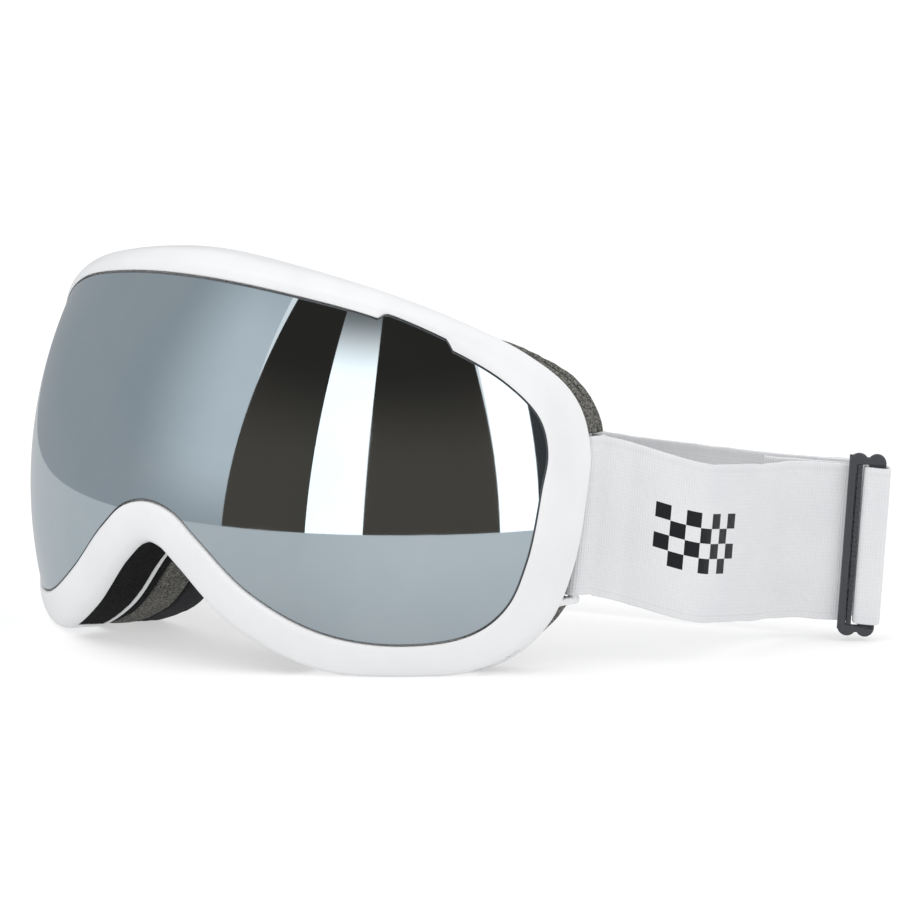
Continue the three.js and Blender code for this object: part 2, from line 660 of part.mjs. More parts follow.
function makeNearStrap() {
  const leaving = new THREE.Vector2(0.56, 0.828).normalize();
  const axis = straightAxis(new THREE.Vector2(LUG_X, LUG_Y), leaving);
  const fold = foldedEnd(axis, 1, ROUND_LUG, 0, SEWN_LENGTH);
  const run = curveThrough([fold.longPly.toArray(), [103, -5], [101.8, 8], [98.9, 21.5],
    fromSlider(-20, incoming + 1.5).toArray(), fromSlider(-15, incoming).toArray()], 18);
  const turn = Array.from({ length: 9 }, (_, i) => {
    const a = Math.PI * (0.5 - i / 8);
    return fromSlider(REAR_BAR_W[1] + (incoming - rearBarT) * Math.cos(a),
      rearBarT + (incoming - rearBarT) * Math.sin(a));
  });
  const free = [[-6.5, tail], [-11, tail], [-15, tail - 0.1], [-20, tail - 0.5], [-27, tail - 1.2]];
  const path = [...run, fromSlider(-11, incoming), fromSlider(-6.5, incoming), ...turn,
    ...free.map(([w, t]) => fromSlider(w, t))];
  const [right, left] = bandSides(path);
  const outline = [...fold.contour, ...left.slice(1), ...right.slice(1).reverse()];
  return standUp(outline, [fold.hole], nearStrapPlace);
}

function makeFarStrap() {
  const leaving = new THREE.Vector2(-0.3, 0.954).normalize();
  const axis = straightAxis(new THREE.Vector2(-LUG_X, LUG_Y), leaving);
  const fold = foldedEnd(axis, -1, ROUND_LUG, 0, SEWN_LENGTH);
  const endBar = {
    halfWidth: (END_BAR[1] - END_BAR[0]) / 2,
    halfDepth: (END_BAR_DEPTH[1] - END_BAR_DEPTH[0]) / 2,
    corner: 0.3,
  };
  const middleT = (END_BAR_DEPTH[0] + END_BAR_DEPTH[1]) / 2;
  const endAxis = turningAxis(fromSlider((END_BAR[0] + END_BAR[1]) / 2, middleT),
    new THREE.Vector2(-FACING.x, -FACING.y), new THREE.Vector2(-ALONG.x, -ALONG.y), 5.2, 5);
  const end = foldedEnd(endAxis, 1, endBar, middleT - PLATE[0] + STRAP_GAP, 23);
  const run = curveThrough([
    fold.longPly.toArray(), [-88, -4], [-82, 4], [-70, 6], [-30, 14], [30, 27], [84, 40.5],
    fromSlider(-21, -12.6).toArray(), end.longPly.toArray()], 56);
  const [right, left] = bandSides(run);
  const outline = [...fold.contour, ...right.slice(1, -1), ...end.contour.slice().reverse(),
    ...left.slice(1, -1).reverse()];
  return standUp(outline, [fold.hole, end.hole], farStrapPlace);
}

// A block in slider coordinates: ranges along the strap, up the slider and towards the front.
function sliderBlock([w0, w1], [v0, v1], [t0, t1]) {
  const block = new THREE.BoxGeometry(w1 - w0, v1 - v0, t1 - t0);
  block.translate((w0 + w1) / 2, (v0 + v1) / 2, (t0 + t1) / 2);
  return toManifold(block);
}

// The slider: two end loops with a shallow notch between their humps, joined by the bars.
function makeSlider() {
  const shape = new THREE.Shape();
  const h = SLIDER_HALF_HEIGHT;
  const humps = [{ w: OUTER_BAR[0] + 2.45, r: 2.45 }, { w: END_BAR[1] - 2.35, r: 2.35 }];
  shape.absarc(humps[0].w, h - humps[0].r, humps[0].r, Math.PI, 0.2 * Math.PI, true);
  shape.absarc(humps[1].w, h - humps[1].r, humps[1].r, 0.8 * Math.PI, 0, true);
  shape.absarc(humps[1].w, humps[1].r - h, humps[1].r, 0, -0.8 * Math.PI, true);
  shape.absarc(humps[0].w, humps[0].r - h, humps[0].r, -0.2 * Math.PI, -Math.PI, true);
  shape.closePath();
  const plate = new THREE.ExtrudeGeometry(shape, {
    depth: PLATE[1] - PLATE[0], bevelEnabled: false, curveSegments: 8 });
  plate.translate(0, 0, PLATE[0]);
  const window = [-WINDOW_HALF, WINDOW_HALF];
  let solid = toManifold(plate)
    .subtract(sliderBlock([OUTER_BAR[1], END_BAR[0]], window, [-3, 3]))
    .subtract(sliderBlock([END_BAR[0] - 0.1, 8], window, [END_BAR_DEPTH[1], 3]))
    .subtract(sliderBlock([END_BAR[0] - 0.1, 8], window, [-3, END_BAR_DEPTH[0]]))
    .add(sliderBlock(GRIP_BAR, [-WINDOW_HALF - 0.5, WINDOW_HALF + 0.5], PLATE));
  const reach = WINDOW_HALF + 1.7;
  const rearBar = [rearBarT - REAR_BAR_RADIUS, rearBarT + REAR_BAR_RADIUS];
  solid = solid.add(sliderBlock(REAR_BAR_W, [-reach, reach], rearBar));
  for (const w of REAR_BAR_W) {
    const edge = new THREE.CylinderGeometry(REAR_BAR_RADIUS, REAR_BAR_RADIUS, 2 * reach, 16);
    edge.translate(w, 0, rearBarT);
    solid = solid.add(toManifold(edge));
  }
  for (const v of [[WINDOW_HALF, reach], [-reach, -WINDOW_HALF]]) {
    solid = solid.add(sliderBlock([OUTER_BAR[0], -3.6], v, [rearBar[0], PLATE[0] + 0.2]));
  }
  const geometry = fromManifold(solid);
  const toPlace = new THREE.Matrix4().makeBasis(
    new THREE.Vector3().crossVectors(SLIDER_UP, FACING).normalize(), SLIDER_UP, FACING);
  geometry.applyMatrix4(toPlace);
  geometry.translate(SLIDER_X, SLIDER_Y, SLIDER_Z);
  return geometry;
}

// ---------------------------------------------------------------- assembly
const group = new THREE.Group();

function addPart(name, geometry, material) {
  const mesh = new THREE.Mesh(geometry, material.clone());
  mesh.name = name;
  group.add(mesh);
}

const spacerUnder = LENS_THICKNESS + FRONT_GAP;
const innerUnder = spacerUnder + SPACER_THICKNESS + FRONT_GAP;
const spacerSection = (st) => {
  const at = (inset, under) => onBarrel(st.s - inset * st.ns, st.z - inset * st.nz, under);
  return [
    at(SPACER_INSET, spacerUnder),
    at(SPACER_INSET + SPACER_WIDTH, spacerUnder),
    at(SPACER_INSET + SPACER_WIDTH, spacerUnder + SPACER_THICKNESS),
    at(SPACER_INSET, spacerUnder + SPACER_THICKNESS),
  ];
};

addPart('frame', makeFrame(), WHITE_PLASTIC);
addPart('outer_lens', makeLens((st) => st.tab, 0, LENS_THICKNESS), MIRROR);
addPart('lens_spacer_foam', sweep(STATIONS.map(spacerSection)), BLACK_FOAM);
addPart('inner_lens', makeLens(() => 0.5 - SPACER_INSET, innerUnder, INNER_LENS_THICKNESS), CLEAR);
addPart('nose_vent_foam', makeNoseVentFoam(), BLACK_FOAM);
addPart('lower_vent_foam_left', makeVentFoam(1), BLACK_FOAM);
addPart('lower_vent_foam_right', makeVentFoam(-1), BLACK_FOAM);
addPart('face_foam_base', clearTemples(makeFoamLayer(0, 0.07, 0.1)), BLACK_FOAM);
addPart('face_foam_middle', clearTemples(makeFoamLayer(0.18, 0.52, 0.3)), GREY_FOAM);
addPart('face_foam_cover', clearTemples(makeFoamLayer(0.63, 1, 1.4)), FLEECE);
addPart('strap_left', makeNearStrap(), WEBBING);
addPart('strap_right', makeFarStrap(), WEBBING);
addPart('slider', makeSlider(), GREY_PLASTIC);

// The origin is the middle of the whole object's footprint, on the surface it stands on.
const box = new THREE.Box3().setFromObject(group);
const middle = box.getCenter(new THREE.Vector3());
group.position.set(-middle.x, -middle.y, -box.min.z);

export default group;
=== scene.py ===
"""Wrap-around goggles: the finished look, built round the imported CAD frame.

Lengths are millimetres in goggle coordinates, with the lens barrel's vertical axis at
x = 0, y = 0, the ground at z = 0, the lens facing -Y and the wearer's left at +X. to_row()
turns them into the row frame's metres.
"""

import math

import bmesh
import bpy
import numpy as np
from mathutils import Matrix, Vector, noise


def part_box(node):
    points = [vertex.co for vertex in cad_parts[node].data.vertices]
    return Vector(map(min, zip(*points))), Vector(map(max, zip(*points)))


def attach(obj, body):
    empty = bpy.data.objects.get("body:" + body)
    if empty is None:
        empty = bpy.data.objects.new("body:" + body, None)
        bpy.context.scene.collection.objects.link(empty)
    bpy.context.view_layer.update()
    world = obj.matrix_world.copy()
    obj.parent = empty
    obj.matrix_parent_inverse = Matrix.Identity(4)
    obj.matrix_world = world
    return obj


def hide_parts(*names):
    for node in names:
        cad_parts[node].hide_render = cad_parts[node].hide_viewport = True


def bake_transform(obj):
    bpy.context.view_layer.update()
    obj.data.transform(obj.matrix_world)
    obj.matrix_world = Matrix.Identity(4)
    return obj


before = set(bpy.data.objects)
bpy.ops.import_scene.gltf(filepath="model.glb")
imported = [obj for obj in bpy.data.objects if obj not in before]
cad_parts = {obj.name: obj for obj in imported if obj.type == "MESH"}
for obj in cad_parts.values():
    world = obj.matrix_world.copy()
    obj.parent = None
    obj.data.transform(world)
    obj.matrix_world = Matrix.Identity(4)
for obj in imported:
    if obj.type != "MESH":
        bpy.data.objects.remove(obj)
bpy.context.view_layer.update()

MM = 0.001
FRAME_FRONT = 95.482  # the barrel's axis to the frame's foremost point
frame_low, frame_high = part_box("frame")
AXIS = np.array([(frame_low.x + frame_high.x) / 2, frame_low.y + FRAME_FRONT * MM, frame_low.z])

# ------------------------------------------------------------------ driving dimensions
BARREL_RADIUS = 94.2  # lens radius in plan, at its widest height
BARREL_ARCH = 118.1  # lens radius in side view
WIDEST_Z = 33.4

# Right half of the lens outline, top centre to the middle of the nose arch: distance round
# the barrel, height, width of the frame's face, depth of its wall, thickness of the padding,
# how far the padding stands in from the edge, and how far the edge flares towards the nose.
OUTLINE = [
    (0, 95.2, 6.1, 7, 14, 4.6, 0), (30.4, 93.5, 5.6, 6.5, 13, 5.2, 0),
    (62.8, 88, 5.3, 5.2, 10.5, 5.6, 0), (84, 80.3, 6.2, 4.6, 9, 3.7, 0),
    (98, 72.2, 7.8, 4.1, 7.6, 1.6, 0), (106, 63.6, 9.5, 3.9, 7, 0.6, 0),
    (107.4, 55.5, 9.7, 3.9, 6.8, 0.4, 0), (105.2, 46.5, 10.3, 3.9, 6.8, 0.4, 0),
    (100.9, 28.6, 10.2, 4.6, 7.5, 0.6, 0), (96, 17.6, 10, 5.3, 8.5, 2.2, 0),
    (87.4, 11.2, 9.6, 7, 10.5, 2.8, 0), (69.2, 8.6, 9, 9.6, 14.5, 2, 0.6),
    (48.8, 11.5, 10.4, 12.5, 19, 0.8, 3.4), (30.7, 20.6, 11.2, 15, 23, 0.4, 5.5),
    (16.4, 33, 10.8, 16, 25, 0.4, 4.2), (8.4, 39.2, 11, 16, 25, 0.4, 1.6),
    (0, 41.2, 11, 16, 25, 0.4, 0),
]
TAB_START, TAB_END, TAB_RAMP, TAB_HEIGHT = 62.8, 84, 2.2, 1.8
STEP_ALONG = 1.4  # spacing of cross-sections round the outline
EVEN_REACH = 12.5  # distance over which the sections' directions are evened out

LENS_THICKNESS = 1.2
LENS_GAP = 0.5
FRONT_GAP = 0.35
SPACER_INSET, SPACER_WIDTH, SPACER_THICKNESS = 7, 5, 1.8
INNER_LENS_THICKNESS = 1
LEDGE_REACH, LEDGE_THICKNESS = 2.4, 1.6
FLANGE_WIDTH, FLANGE_THICKNESS = 9.8, 1.6
FACE_RADIUS, FACE_CENTRE_Y = 102.2, 24.2
FOAM_INNER = 14  # the padding's inner edge, in from the frame's outer edge

STRAP_WIDTH = 40
STRAP_THICKNESS = 0.94  # a little under the CAD band, so that touching plies stay apart
STRAP_GAP = 0.31
LUG_X, LUG_Y, LUG_Z, LUG_RADIUS = 83, -25.4, 38.2, 1.25
LUG_LEAN = Vector((0.05, 0.07, 1)).normalized()
LUG_HALF_LENGTH = 22.3
SEWN_LENGTH = 12

SLIDER = Vector((114.6, 47.6, 24.5))
SLIDER_HEADING = math.radians(41.88)
SLIDER_TILT = math.radians(4)
SLIDER_HALF_HEIGHT = 23.25
OUTER_BAR, GRIP_BAR, END_BAR = (-5.8, -3.9), (-3.65, -2.4), (-0.8, 3.5)  # along the strap
PLATE, END_BAR_DEPTH = (-1.3, 0.9), (-0.6, 0.4)  # rear and front faces
REAR_BAR, REAR_BAR_RADIUS = (-5.2, -4.1), 0.5
WINDOW_HALF = STRAP_WIDTH / 2 + 0.5

CAMERA_AZIMUTH = math.radians(41.88)
CAMERA_ELEVATION = math.radians(9.75)
CAMERA_DISTANCE = 2747
CAMERA_AIM_RIGHT, CAMERA_AIM_UP, CAMERA_AIM_Z = 15.1, 0.34, 38.8
CAMERA_LENS = 422.3


def to_row(points):
    """Goggle coordinates in mm to the row frame in metres."""
    return np.asarray(points, float) * MM + AXIS


def smooth(x):
    x = np.clip(x, 0, 1)
    return x * x * (3 - 2 * x)


# ------------------------------------------------------------------ camera
def aim(obj, back):
    obj.rotation_euler = Vector(back).to_track_quat("Z", "Y").to_euler()


def make_camera():
    ca, sa = math.cos(CAMERA_AZIMUTH), math.sin(CAMERA_AZIMUTH)
    ce, se = math.cos(CAMERA_ELEVATION), math.sin(CAMERA_ELEVATION)
    back = np.array([sa * ce, -ca * ce, se])
    right = np.array([ca, sa, 0])
    up = np.array([-sa * se, ca * se, ce])
    place = (back * CAMERA_DISTANCE + right * CAMERA_AIM_RIGHT + up * CAMERA_AIM_UP
             + np.array([0, 0, CAMERA_AIM_Z]))
    data = bpy.data.cameras.new("camera")
    data.lens = CAMERA_LENS
    data.sensor_width = 36
    data.clip_end = 30
    camera = bpy.data.objects.new("camera", data)
    bpy.context.scene.collection.objects.link(camera)
    camera.location = to_row(place)
    aim(camera, back)
    bpy.context.scene.camera = camera


make_camera()


# ------------------------------------------------------------------ node helpers
def new_material(name, color, roughness, metallic=0.0, **sockets):
    material = bpy.data.materials.new(name)
    material.use_nodes = True
    tree = material.node_tree
    shader = tree.nodes["Principled BSDF"]
    shader.inputs["Base Color"].default_value = (*color, 1)
    shader.inputs["Roughness"].default_value = roughness
    shader.inputs["Metallic"].default_value = metallic
    for key, value in sockets.items():
        shader.inputs[key.replace("_", " ")].default_value = value
    return material, tree, shader


def add(tree, kind, **values):
    """A new node, with its sockets or settings given by name."""
    node = tree.nodes.new(kind)
    for key, value in values.items():
        socket = key.replace("_", " ")
        if socket in node.inputs.keys():
            node.inputs[socket].default_value = value
        else:
            setattr(node, key, value)
    return node


def feed(tree, socket, value):
    """Links another socket to this one, or sets it to a number or a colour."""
    if isinstance(value, bpy.types.NodeSocket):
        tree.links.new(value, socket)
    elif isinstance(value, tuple):
        socket.default_value = (*value, 1)
    else:
        socket.default_value = value


def math_node(tree, operation, a, b=0.0, c=0.0):
    node = tree.nodes.new("ShaderNodeMath")
    node.operation = operation
    for socket, value in zip(node.inputs, (a, b, c)):
        feed(tree, socket, value)
    return node.outputs[0]


def ramp(tree, factor, stops):
    node = tree.nodes.new("ShaderNodeValToRGB")
    tree.links.new(factor, node.inputs[0])
    elements = node.color_ramp.elements
    while len(elements) < len(stops):
        elements.new(0.5)
    for element, (position, color) in zip(elements, stops):
        element.position = position
        element.color = (*color, 1)
    return node.outputs["Color"]


def mix_color(tree, factor, a, b, blend_type="MIX"):
    node = tree.nodes.new("ShaderNodeMix")
    node.data_type = "RGBA"
    node.blend_type = blend_type
    for index, value in ((0, factor), (6, a), (7, b)):  # factor, and the two colours
        feed(tree, node.inputs[index], value)
    return node.outputs[2]


def noise_node(tree, coordinates, scale, detail=3.0, roughness=0.55, distortion=0.0):
    node = add(tree, "ShaderNodeTexNoise", Scale=scale, Detail=detail, Roughness=roughness,
               Distortion=distortion)
    tree.links.new(coordinates, node.inputs["Vector"])
    return node.outputs["Fac"]


def bump(tree, shader, height, strength, distance):
    node = add(tree, "ShaderNodeBump", Strength=strength, Distance=distance)
    tree.links.new(height, node.inputs["Height"])
    tree.links.new(node.outputs["Normal"], shader.inputs["Normal"])


def object_coordinates(tree):
    return tree.nodes.new("ShaderNodeTexCoord").outputs["Object"]


def vary_roughness(tree, shader, level, level_range, roughness_range):
    """Drives the roughness by a noise level."""
    spread = add(tree, "ShaderNodeMapRange", From_Min=level_range[0], From_Max=level_range[1],
                 To_Min=roughness_range[0], To_Max=roughness_range[1])
    tree.links.new(level, spread.inputs["Value"])
    tree.links.new(spread.outputs[0], shader.inputs["Roughness"])


# ------------------------------------------------------------------ materials
def moulded_plastic(name, color, roughness, grain=0.04):
    """Moulded plastic: a very fine grain, slight unevenness in gloss, and faint handling wear."""
    material, tree, shader = new_material(name, color, roughness, Coat_Weight=0.12,
                                          Coat_Roughness=0.12)
    place = object_coordinates(tree)
    fine = noise_node(tree, place, 5200, 2)
    broad = noise_node(tree, place, 46, 4)
    dark = tuple(c * 0.95 for c in color)
    tree.links.new(ramp(tree, broad, [(0.3, dark), (0.62, color)]), shader.inputs["Base Color"])
    vary_roughness(tree, shader, broad, (0.3, 0.7), (roughness - 0.05, roughness + 0.07))
    bump(tree, shader, math_node(tree, "MULTIPLY_ADD", fine, 0.5, broad), grain, 0.0002)
    return material


def mirror_coating():
    """Silver mirror coating: clean, with a hardly visible haze and a cool tint."""
    material, tree, shader = new_material("lens_mirror_coat", (0.63, 0.71, 0.75), 0.02, 1.0)
    place = object_coordinates(tree)
    haze = noise_node(tree, place, 30, 5, 0.6, 0.8)
    vary_roughness(tree, shader, haze, (0.35, 0.75), (0.012, 0.045))
    tint = ramp(tree, haze, [(0.35, (0.60, 0.69, 0.735)), (0.7, (0.655, 0.725, 0.765))])
    tree.links.new(tint, shader.inputs["Base Color"])
    return material


def lens_back():
    """The unmirrored rear and eased rim of the lens: smoke-tinted, glossy; on the rim it is partly
    painted shade of the gap at the frame's lip.
    """
    material, tree, shader = new_material("lens_smoke_back_and_gap_shade", (0.09, 0.10, 0.11), 0.05,
                                          Coat_Weight=0.5, Coat_Roughness=0.03)
    place = object_coordinates(tree)
    haze = noise_node(tree, place, 22, 4)
    tree.links.new(ramp(tree, haze, [(0.3, (0.075, 0.085, 0.095)), (0.7, (0.11, 0.12, 0.13))]),
                   shader.inputs["Base Color"])
    return material


def clear_lens():
    """The inner lens: see-through, with a slight haze."""
    material, tree, shader = new_material("inner_lens_clear", (0.9, 0.93, 0.94), 0.04,
                                          Alpha=0.16, IOR=1.45)
    place = object_coordinates(tree)
    haze = noise_node(tree, place, 26, 4)
    vary_roughness(tree, shader, haze, (0.3, 0.7), (0.03, 0.09))
    return material


def open_foam(name, dark, light, cell=0.55, depth=0.5, speckle=0.55):
    """Open-cell foam: rounded cells of about the given size in mm, dark pores, pale struts."""
    material, tree, shader = new_material(name, dark, 0.95)
    shader.inputs["Specular IOR Level"].default_value = 0.15
    place = object_coordinates(tree)
    warp = noise_node(tree, place, 900, 2)
    shifted = add(tree, "ShaderNodeVectorMath", operation="ADD")
    tree.links.new(place, shifted.inputs[0])
    scaled = add(tree, "ShaderNodeCombineXYZ")
    amount = math_node(tree, "MULTIPLY", warp, 0.0005)
    for socket in scaled.inputs:
        tree.links.new(amount, socket)
    tree.links.new(scaled.outputs[0], shifted.inputs[1])
    cells = add(tree, "ShaderNodeTexVoronoi", Scale=1 / (cell * MM), Randomness=1.0)
    tree.links.new(shifted.outputs[0], cells.inputs["Vector"])
    fine = noise_node(tree, place, 2600, 3, 0.7)
    broad = noise_node(tree, place, 90, 3)
    height = math_node(tree, "MULTIPLY_ADD", fine, 0.5, cells.outputs["Distance"])
    struts = ramp(tree, height, [(0.45, dark), (0.45 + speckle, light)])
    shade = ramp(tree, broad, [(0.25, (0.82, 0.82, 0.82)), (0.75, (1.12, 1.12, 1.12))])
    tree.links.new(mix_color(tree, 1.0, struts, shade, "MULTIPLY"), shader.inputs["Base Color"])
    bump(tree, shader, height, depth, 0.0004)
    return material


def brushed_fleece():
    """Short-piled fleece: soft fibres with a sheen, brushed in patches."""
    material, tree, shader = new_material("fleece_black", (0.012, 0.012, 0.013), 1.0,
                                          Sheen_Weight=0.1, Sheen_Roughness=0.5)
    shader.inputs["Specular IOR Level"].default_value = 0.1
    shader.inputs["Sheen Tint"].default_value = (0.5, 0.52, 0.56, 1)
    place = object_coordinates(tree)
    fibre = noise_node(tree, place, 2300, 4, 0.75, 1.2)
    patch = noise_node(tree, place, 130, 4, 0.6)
    height = math_node(tree, "MULTIPLY_ADD", patch, 0.8, fibre)
    pile = ramp(tree, height, [(0.55, (0.004, 0.004, 0.005)), (1.0, (0.034, 0.034, 0.036))])
    tree.links.new(pile, shader.inputs["Base Color"])
    bump(tree, shader, height, 0.6, 0.0005)
    return material


# Woven webbing reads its weave from the UV map "weave": u along the strap and v across it,
# both in centimetres.
RIB = 0.62  # mm from one weft rib to the next
WARP = 0.9  # mm from one warp end to the next
SELVEDGE = STRAP_WIDTH / 20 - 0.17  # cm from the middle of the webbing to its plain edge
MARK_START, MARK_CELL, MARK_COLUMNS, MARK_ROWS = 3.75, 0.38, 7, 4  # cm


def woven_webbing(name, base, shade, mark=False):
    """Knitted-in elastic webbing: fine ribs across, warp ends along, and plain selvedges."""
    material, tree, shader = new_material(name, base, 0.82, Sheen_Weight=0.25,
                                          Sheen_Roughness=0.4)
    shader.inputs["Specular IOR Level"].default_value = 0.25
    weave = add(tree, "ShaderNodeUVMap", uv_map="weave").outputs["UV"]
    parts = add(tree, "ShaderNodeSeparateXYZ")
    tree.links.new(weave, parts.inputs[0])
    along, across = parts.outputs[0], parts.outputs[1]
    place = object_coordinates(tree)
    wobble = noise_node(tree, place, 380, 3)
    rib_phase = math_node(tree, "MULTIPLY_ADD", along, 20 * math.pi / RIB,
                          math_node(tree, "MULTIPLY", wobble, 2.4))
    ribs = math_node(tree, "MULTIPLY_ADD", math_node(tree, "SINE", rib_phase), 0.5, 0.5)
    warp_phase = math_node(tree, "MULTIPLY", across, 20 * math.pi / WARP)
    warps = math_node(tree, "MULTIPLY_ADD", math_node(tree, "SINE", warp_phase), 0.5, 0.5)
    middle = math_node(tree, "ABSOLUTE", across)
    edge = math_node(tree, "GREATER_THAN", middle, SELVEDGE)
    groove = math_node(tree, "COMPARE", middle, SELVEDGE, 0.018)
    woven = math_node(tree, "MULTIPLY_ADD", warps, 0.45, ribs)
    height = math_node(tree, "SUBTRACT", math_node(tree, "MULTIPLY_ADD", edge, 0.4, woven),
                       math_node(tree, "MULTIPLY", groove, 0.9))
    broad = noise_node(tree, place, 55, 4)
    low = tuple(c * 0.93 for c in base)
    color = ramp(tree, woven, [(0.0, low), (0.75, base)])
    tone = ramp(tree, broad, [(0.3, shade), (0.7, (1.0, 1.0, 1.0))])
    color = mix_color(tree, 1.0, color, tone, "MULTIPLY")
    color = mix_color(tree, math_node(tree, "MULTIPLY", groove, 0.25), color, (0.62, 0.63, 0.65))
    if mark:
        color = mix_color(tree, woven_mark(tree, along, across), color, (0.012, 0.013, 0.016))
    tree.links.new(color, shader.inputs["Base Color"])
    bump(tree, shader, height, 0.35, 0.00018)
    return material


def woven_mark(tree, along, across):
    """A plain chequered block, jacquard-woven into the strap, as a mask from 0 to 1."""
    u = math_node(tree, "DIVIDE", math_node(tree, "SUBTRACT", along, MARK_START), MARK_CELL)
    v = math_node(tree, "ADD", math_node(tree, "DIVIDE", across, MARK_CELL), MARK_ROWS / 2)
    column = math_node(tree, "FLOOR", u)
    row = math_node(tree, "FLOOR", v)
    odd = math_node(tree, "FLOORED_MODULO", math_node(tree, "ADD", column, row), 2)
    inside = 1.0
    for value, count in ((u, MARK_COLUMNS), (v, MARK_ROWS)):
        for test, bound in (("GREATER_THAN", 0), ("LESS_THAN", count)):
            inside = math_node(tree, "MULTIPLY", inside, math_node(tree, test, value, bound))
    return math_node(tree, "MULTIPLY", odd, inside)


WHITE = moulded_plastic("frame_white", (0.80, 0.805, 0.815), 0.34)
SLIDER_GREY = moulded_plastic("slider_grey", (0.048, 0.052, 0.060), 0.42, 0.12)
MIRROR = mirror_coating()
SMOKE_AND_GAP_SHADE = lens_back()
CLEAR = clear_lens()
BLACK_FOAM = open_foam("vent_foam_black", (0.003, 0.003, 0.0035), (0.02, 0.02, 0.021), 0.4, 0.6)
GREY_FOAM = open_foam("grey_foam", (0.022, 0.022, 0.020), (0.22, 0.217, 0.20), 0.42, 0.6)
FLEECE = brushed_fleece()
WEBBING = woven_webbing("webbing_white", (0.755, 0.76, 0.77), (0.94, 0.945, 0.96))
MARKED_WEBBING = woven_webbing("webbing_white_marked", (0.755, 0.76, 0.77),
                               (0.94, 0.945, 0.96), True)


# ------------------------------------------------------------------ curves round the outline
def spline(points, closed, count_for, centripetal=True):
    """Catmull-Rom spline through points: for each span, count_for(i) samples from its start."""
    points = np.asarray(points, float)
    n = len(points)
    spans = n if closed else n - 1
    out = []
    for i in range(spans):
        picks = [i - 1, i, i + 1, i + 2]
        if closed:
            p0, p1, p2, p3 = (points[k % n] for k in picks)
        else:
            p1, p2 = points[i], points[i + 1]
            p0 = points[i - 1] if i > 0 else 2 * p1 - p2
            p3 = points[i + 2] if i + 2 < n else 2 * p2 - p1
        if centripetal:
            d0, d1, d2 = (max(np.linalg.norm(b - a) ** 0.5, 1e-4)
                          for a, b in ((p0, p1), (p1, p2), (p2, p3)))
            m1 = ((p1 - p0) / d0 - (p2 - p0) / (d0 + d1) + (p2 - p1) / d1) * d1
            m2 = ((p2 - p1) / d1 - (p3 - p1) / (d1 + d2) + (p3 - p2) / d2) * d1
        else:
            m1, m2 = 0.5 * (p2 - p0), 0.5 * (p3 - p1)
        for t in count_for(i):
            a, b = t * t, t * t * t
            out.append((2 * b - 3 * a + 1) * p1 + (b - 2 * a + t) * m1
                       + (3 * a - 2 * b) * p2 + (b - a) * m2)
    if not closed:
        out.append(points[-1])
    return np.array(out)


def barrel_radius(z):
    return BARREL_RADIUS - BARREL_ARCH + np.sqrt(BARREL_ARCH ** 2 - (z - WIDEST_Z) ** 2)


def on_barrel(s, z, under=0.0):
    angle = s / BARREL_RADIUS
    r = barrel_radius(z) - under
    return np.stack([r * np.sin(angle), -r * np.cos(angle), z + 0 * r], -1)


def behind_barrel(p, under):
    r = barrel_radius(p[:, 2]) - under
    return np.stack([p[:, 0], -np.sqrt(r * r - p[:, 0] ** 2), p[:, 2]], -1)


def face_arc(x):
    return FACE_CENTRE_Y - np.sqrt(FACE_RADIUS ** 2 - x * x)


class Outline:
    """Stations round the lens outline, clockwise from the front, as arrays."""

    def __init__(self):
        half = np.array(OUTLINE, float)
        left = half[1:-1][::-1].copy()
        left[:, 0] *= -1
        knots = np.vstack([half, left])
        n = len(knots)
        gaps = np.linalg.norm(np.roll(knots, -1, 0)[:, :2] - knots[:, :2], axis=1)
        shares = [np.arange(c) / c for c in np.maximum(2, np.round(gaps / STEP_ALONG)).astype(int)]
        place = spline(knots[:, :2], True, lambda i: shares[i])
        size = spline(knots[:, 2:], True, lambda i: shares[i], False)
        self.s, self.z = place[:, 0], place[:, 1]
        self.band, self.depth, self.foam, self.inset = size.T[:4]
        self.flare = np.maximum(size[:, 4], 0)
        along = np.roll(place, -1, 0) - np.roll(place, 1, 0)
        along /= np.linalg.norm(along, axis=1)[:, None]
        self.ns, self.nz = -along[:, 1], along[:, 0]
        rise = smooth((self.s - TAB_START) / TAB_RAMP)
        fall = smooth((TAB_END - self.s) / TAB_RAMP)
        self.tab = np.where(self.z > WIDEST_Z, TAB_HEIGHT * np.minimum(rise, fall), 0)
        self.count = len(self.s)
        self.add_edge()

    def face(self, out, y=0.0):
        """Point on the frame's face at a distance out from the lens edge."""
        p = on_barrel(self.s + out * self.ns, self.z + out * self.nz)
        p[:, 2] = np.maximum(p[:, 2], 0)
        p[:, 1] += y
        return p

    def add_edge(self):
        self.edge = self.face(self.band)
        along = np.roll(self.edge, -1, 0) - np.roll(self.edge, 1, 0)
        d = np.stack([-along[:, 2], along[:, 0]], -1)
        d /= np.linalg.norm(d, axis=1)[:, None]
        for _ in range(int(2 * (EVEN_REACH / STEP_ALONG) ** 2)):
            d = 2 * d + np.roll(d, 1, 0) + np.roll(d, -1, 0)
            d /= np.linalg.norm(d, axis=1)[:, None]
        self.nx, self.nz_front = d.T

    def inward(self, inset, y):
        """Point at a distance in from the outer edge in front view, at depth y."""
        back = np.clip((y - self.edge[:, 1]) / (self.depth + self.foam), 0, 1)
        reach = self.flare * back - inset
        z = np.maximum(self.edge[:, 2] + reach * self.nz_front, 0)
        return np.stack([self.edge[:, 0] + reach * self.nx, y + 0 * z, z], -1)

    def flange(self, x):
        return self.edge[:, 1] + self.depth + face_arc(x) - face_arc(self.edge[:, 0])

    def on_flange(self, inset, behind=0.0):
        """Point at a distance in from the outer edge and behind the flange's rear."""
        p = self.inward(inset, self.edge[:, 1] + self.depth + np.maximum(behind, 0))
        p[:, 1] = self.flange(p[:, 0]) + behind
        return p


ring = Outline()


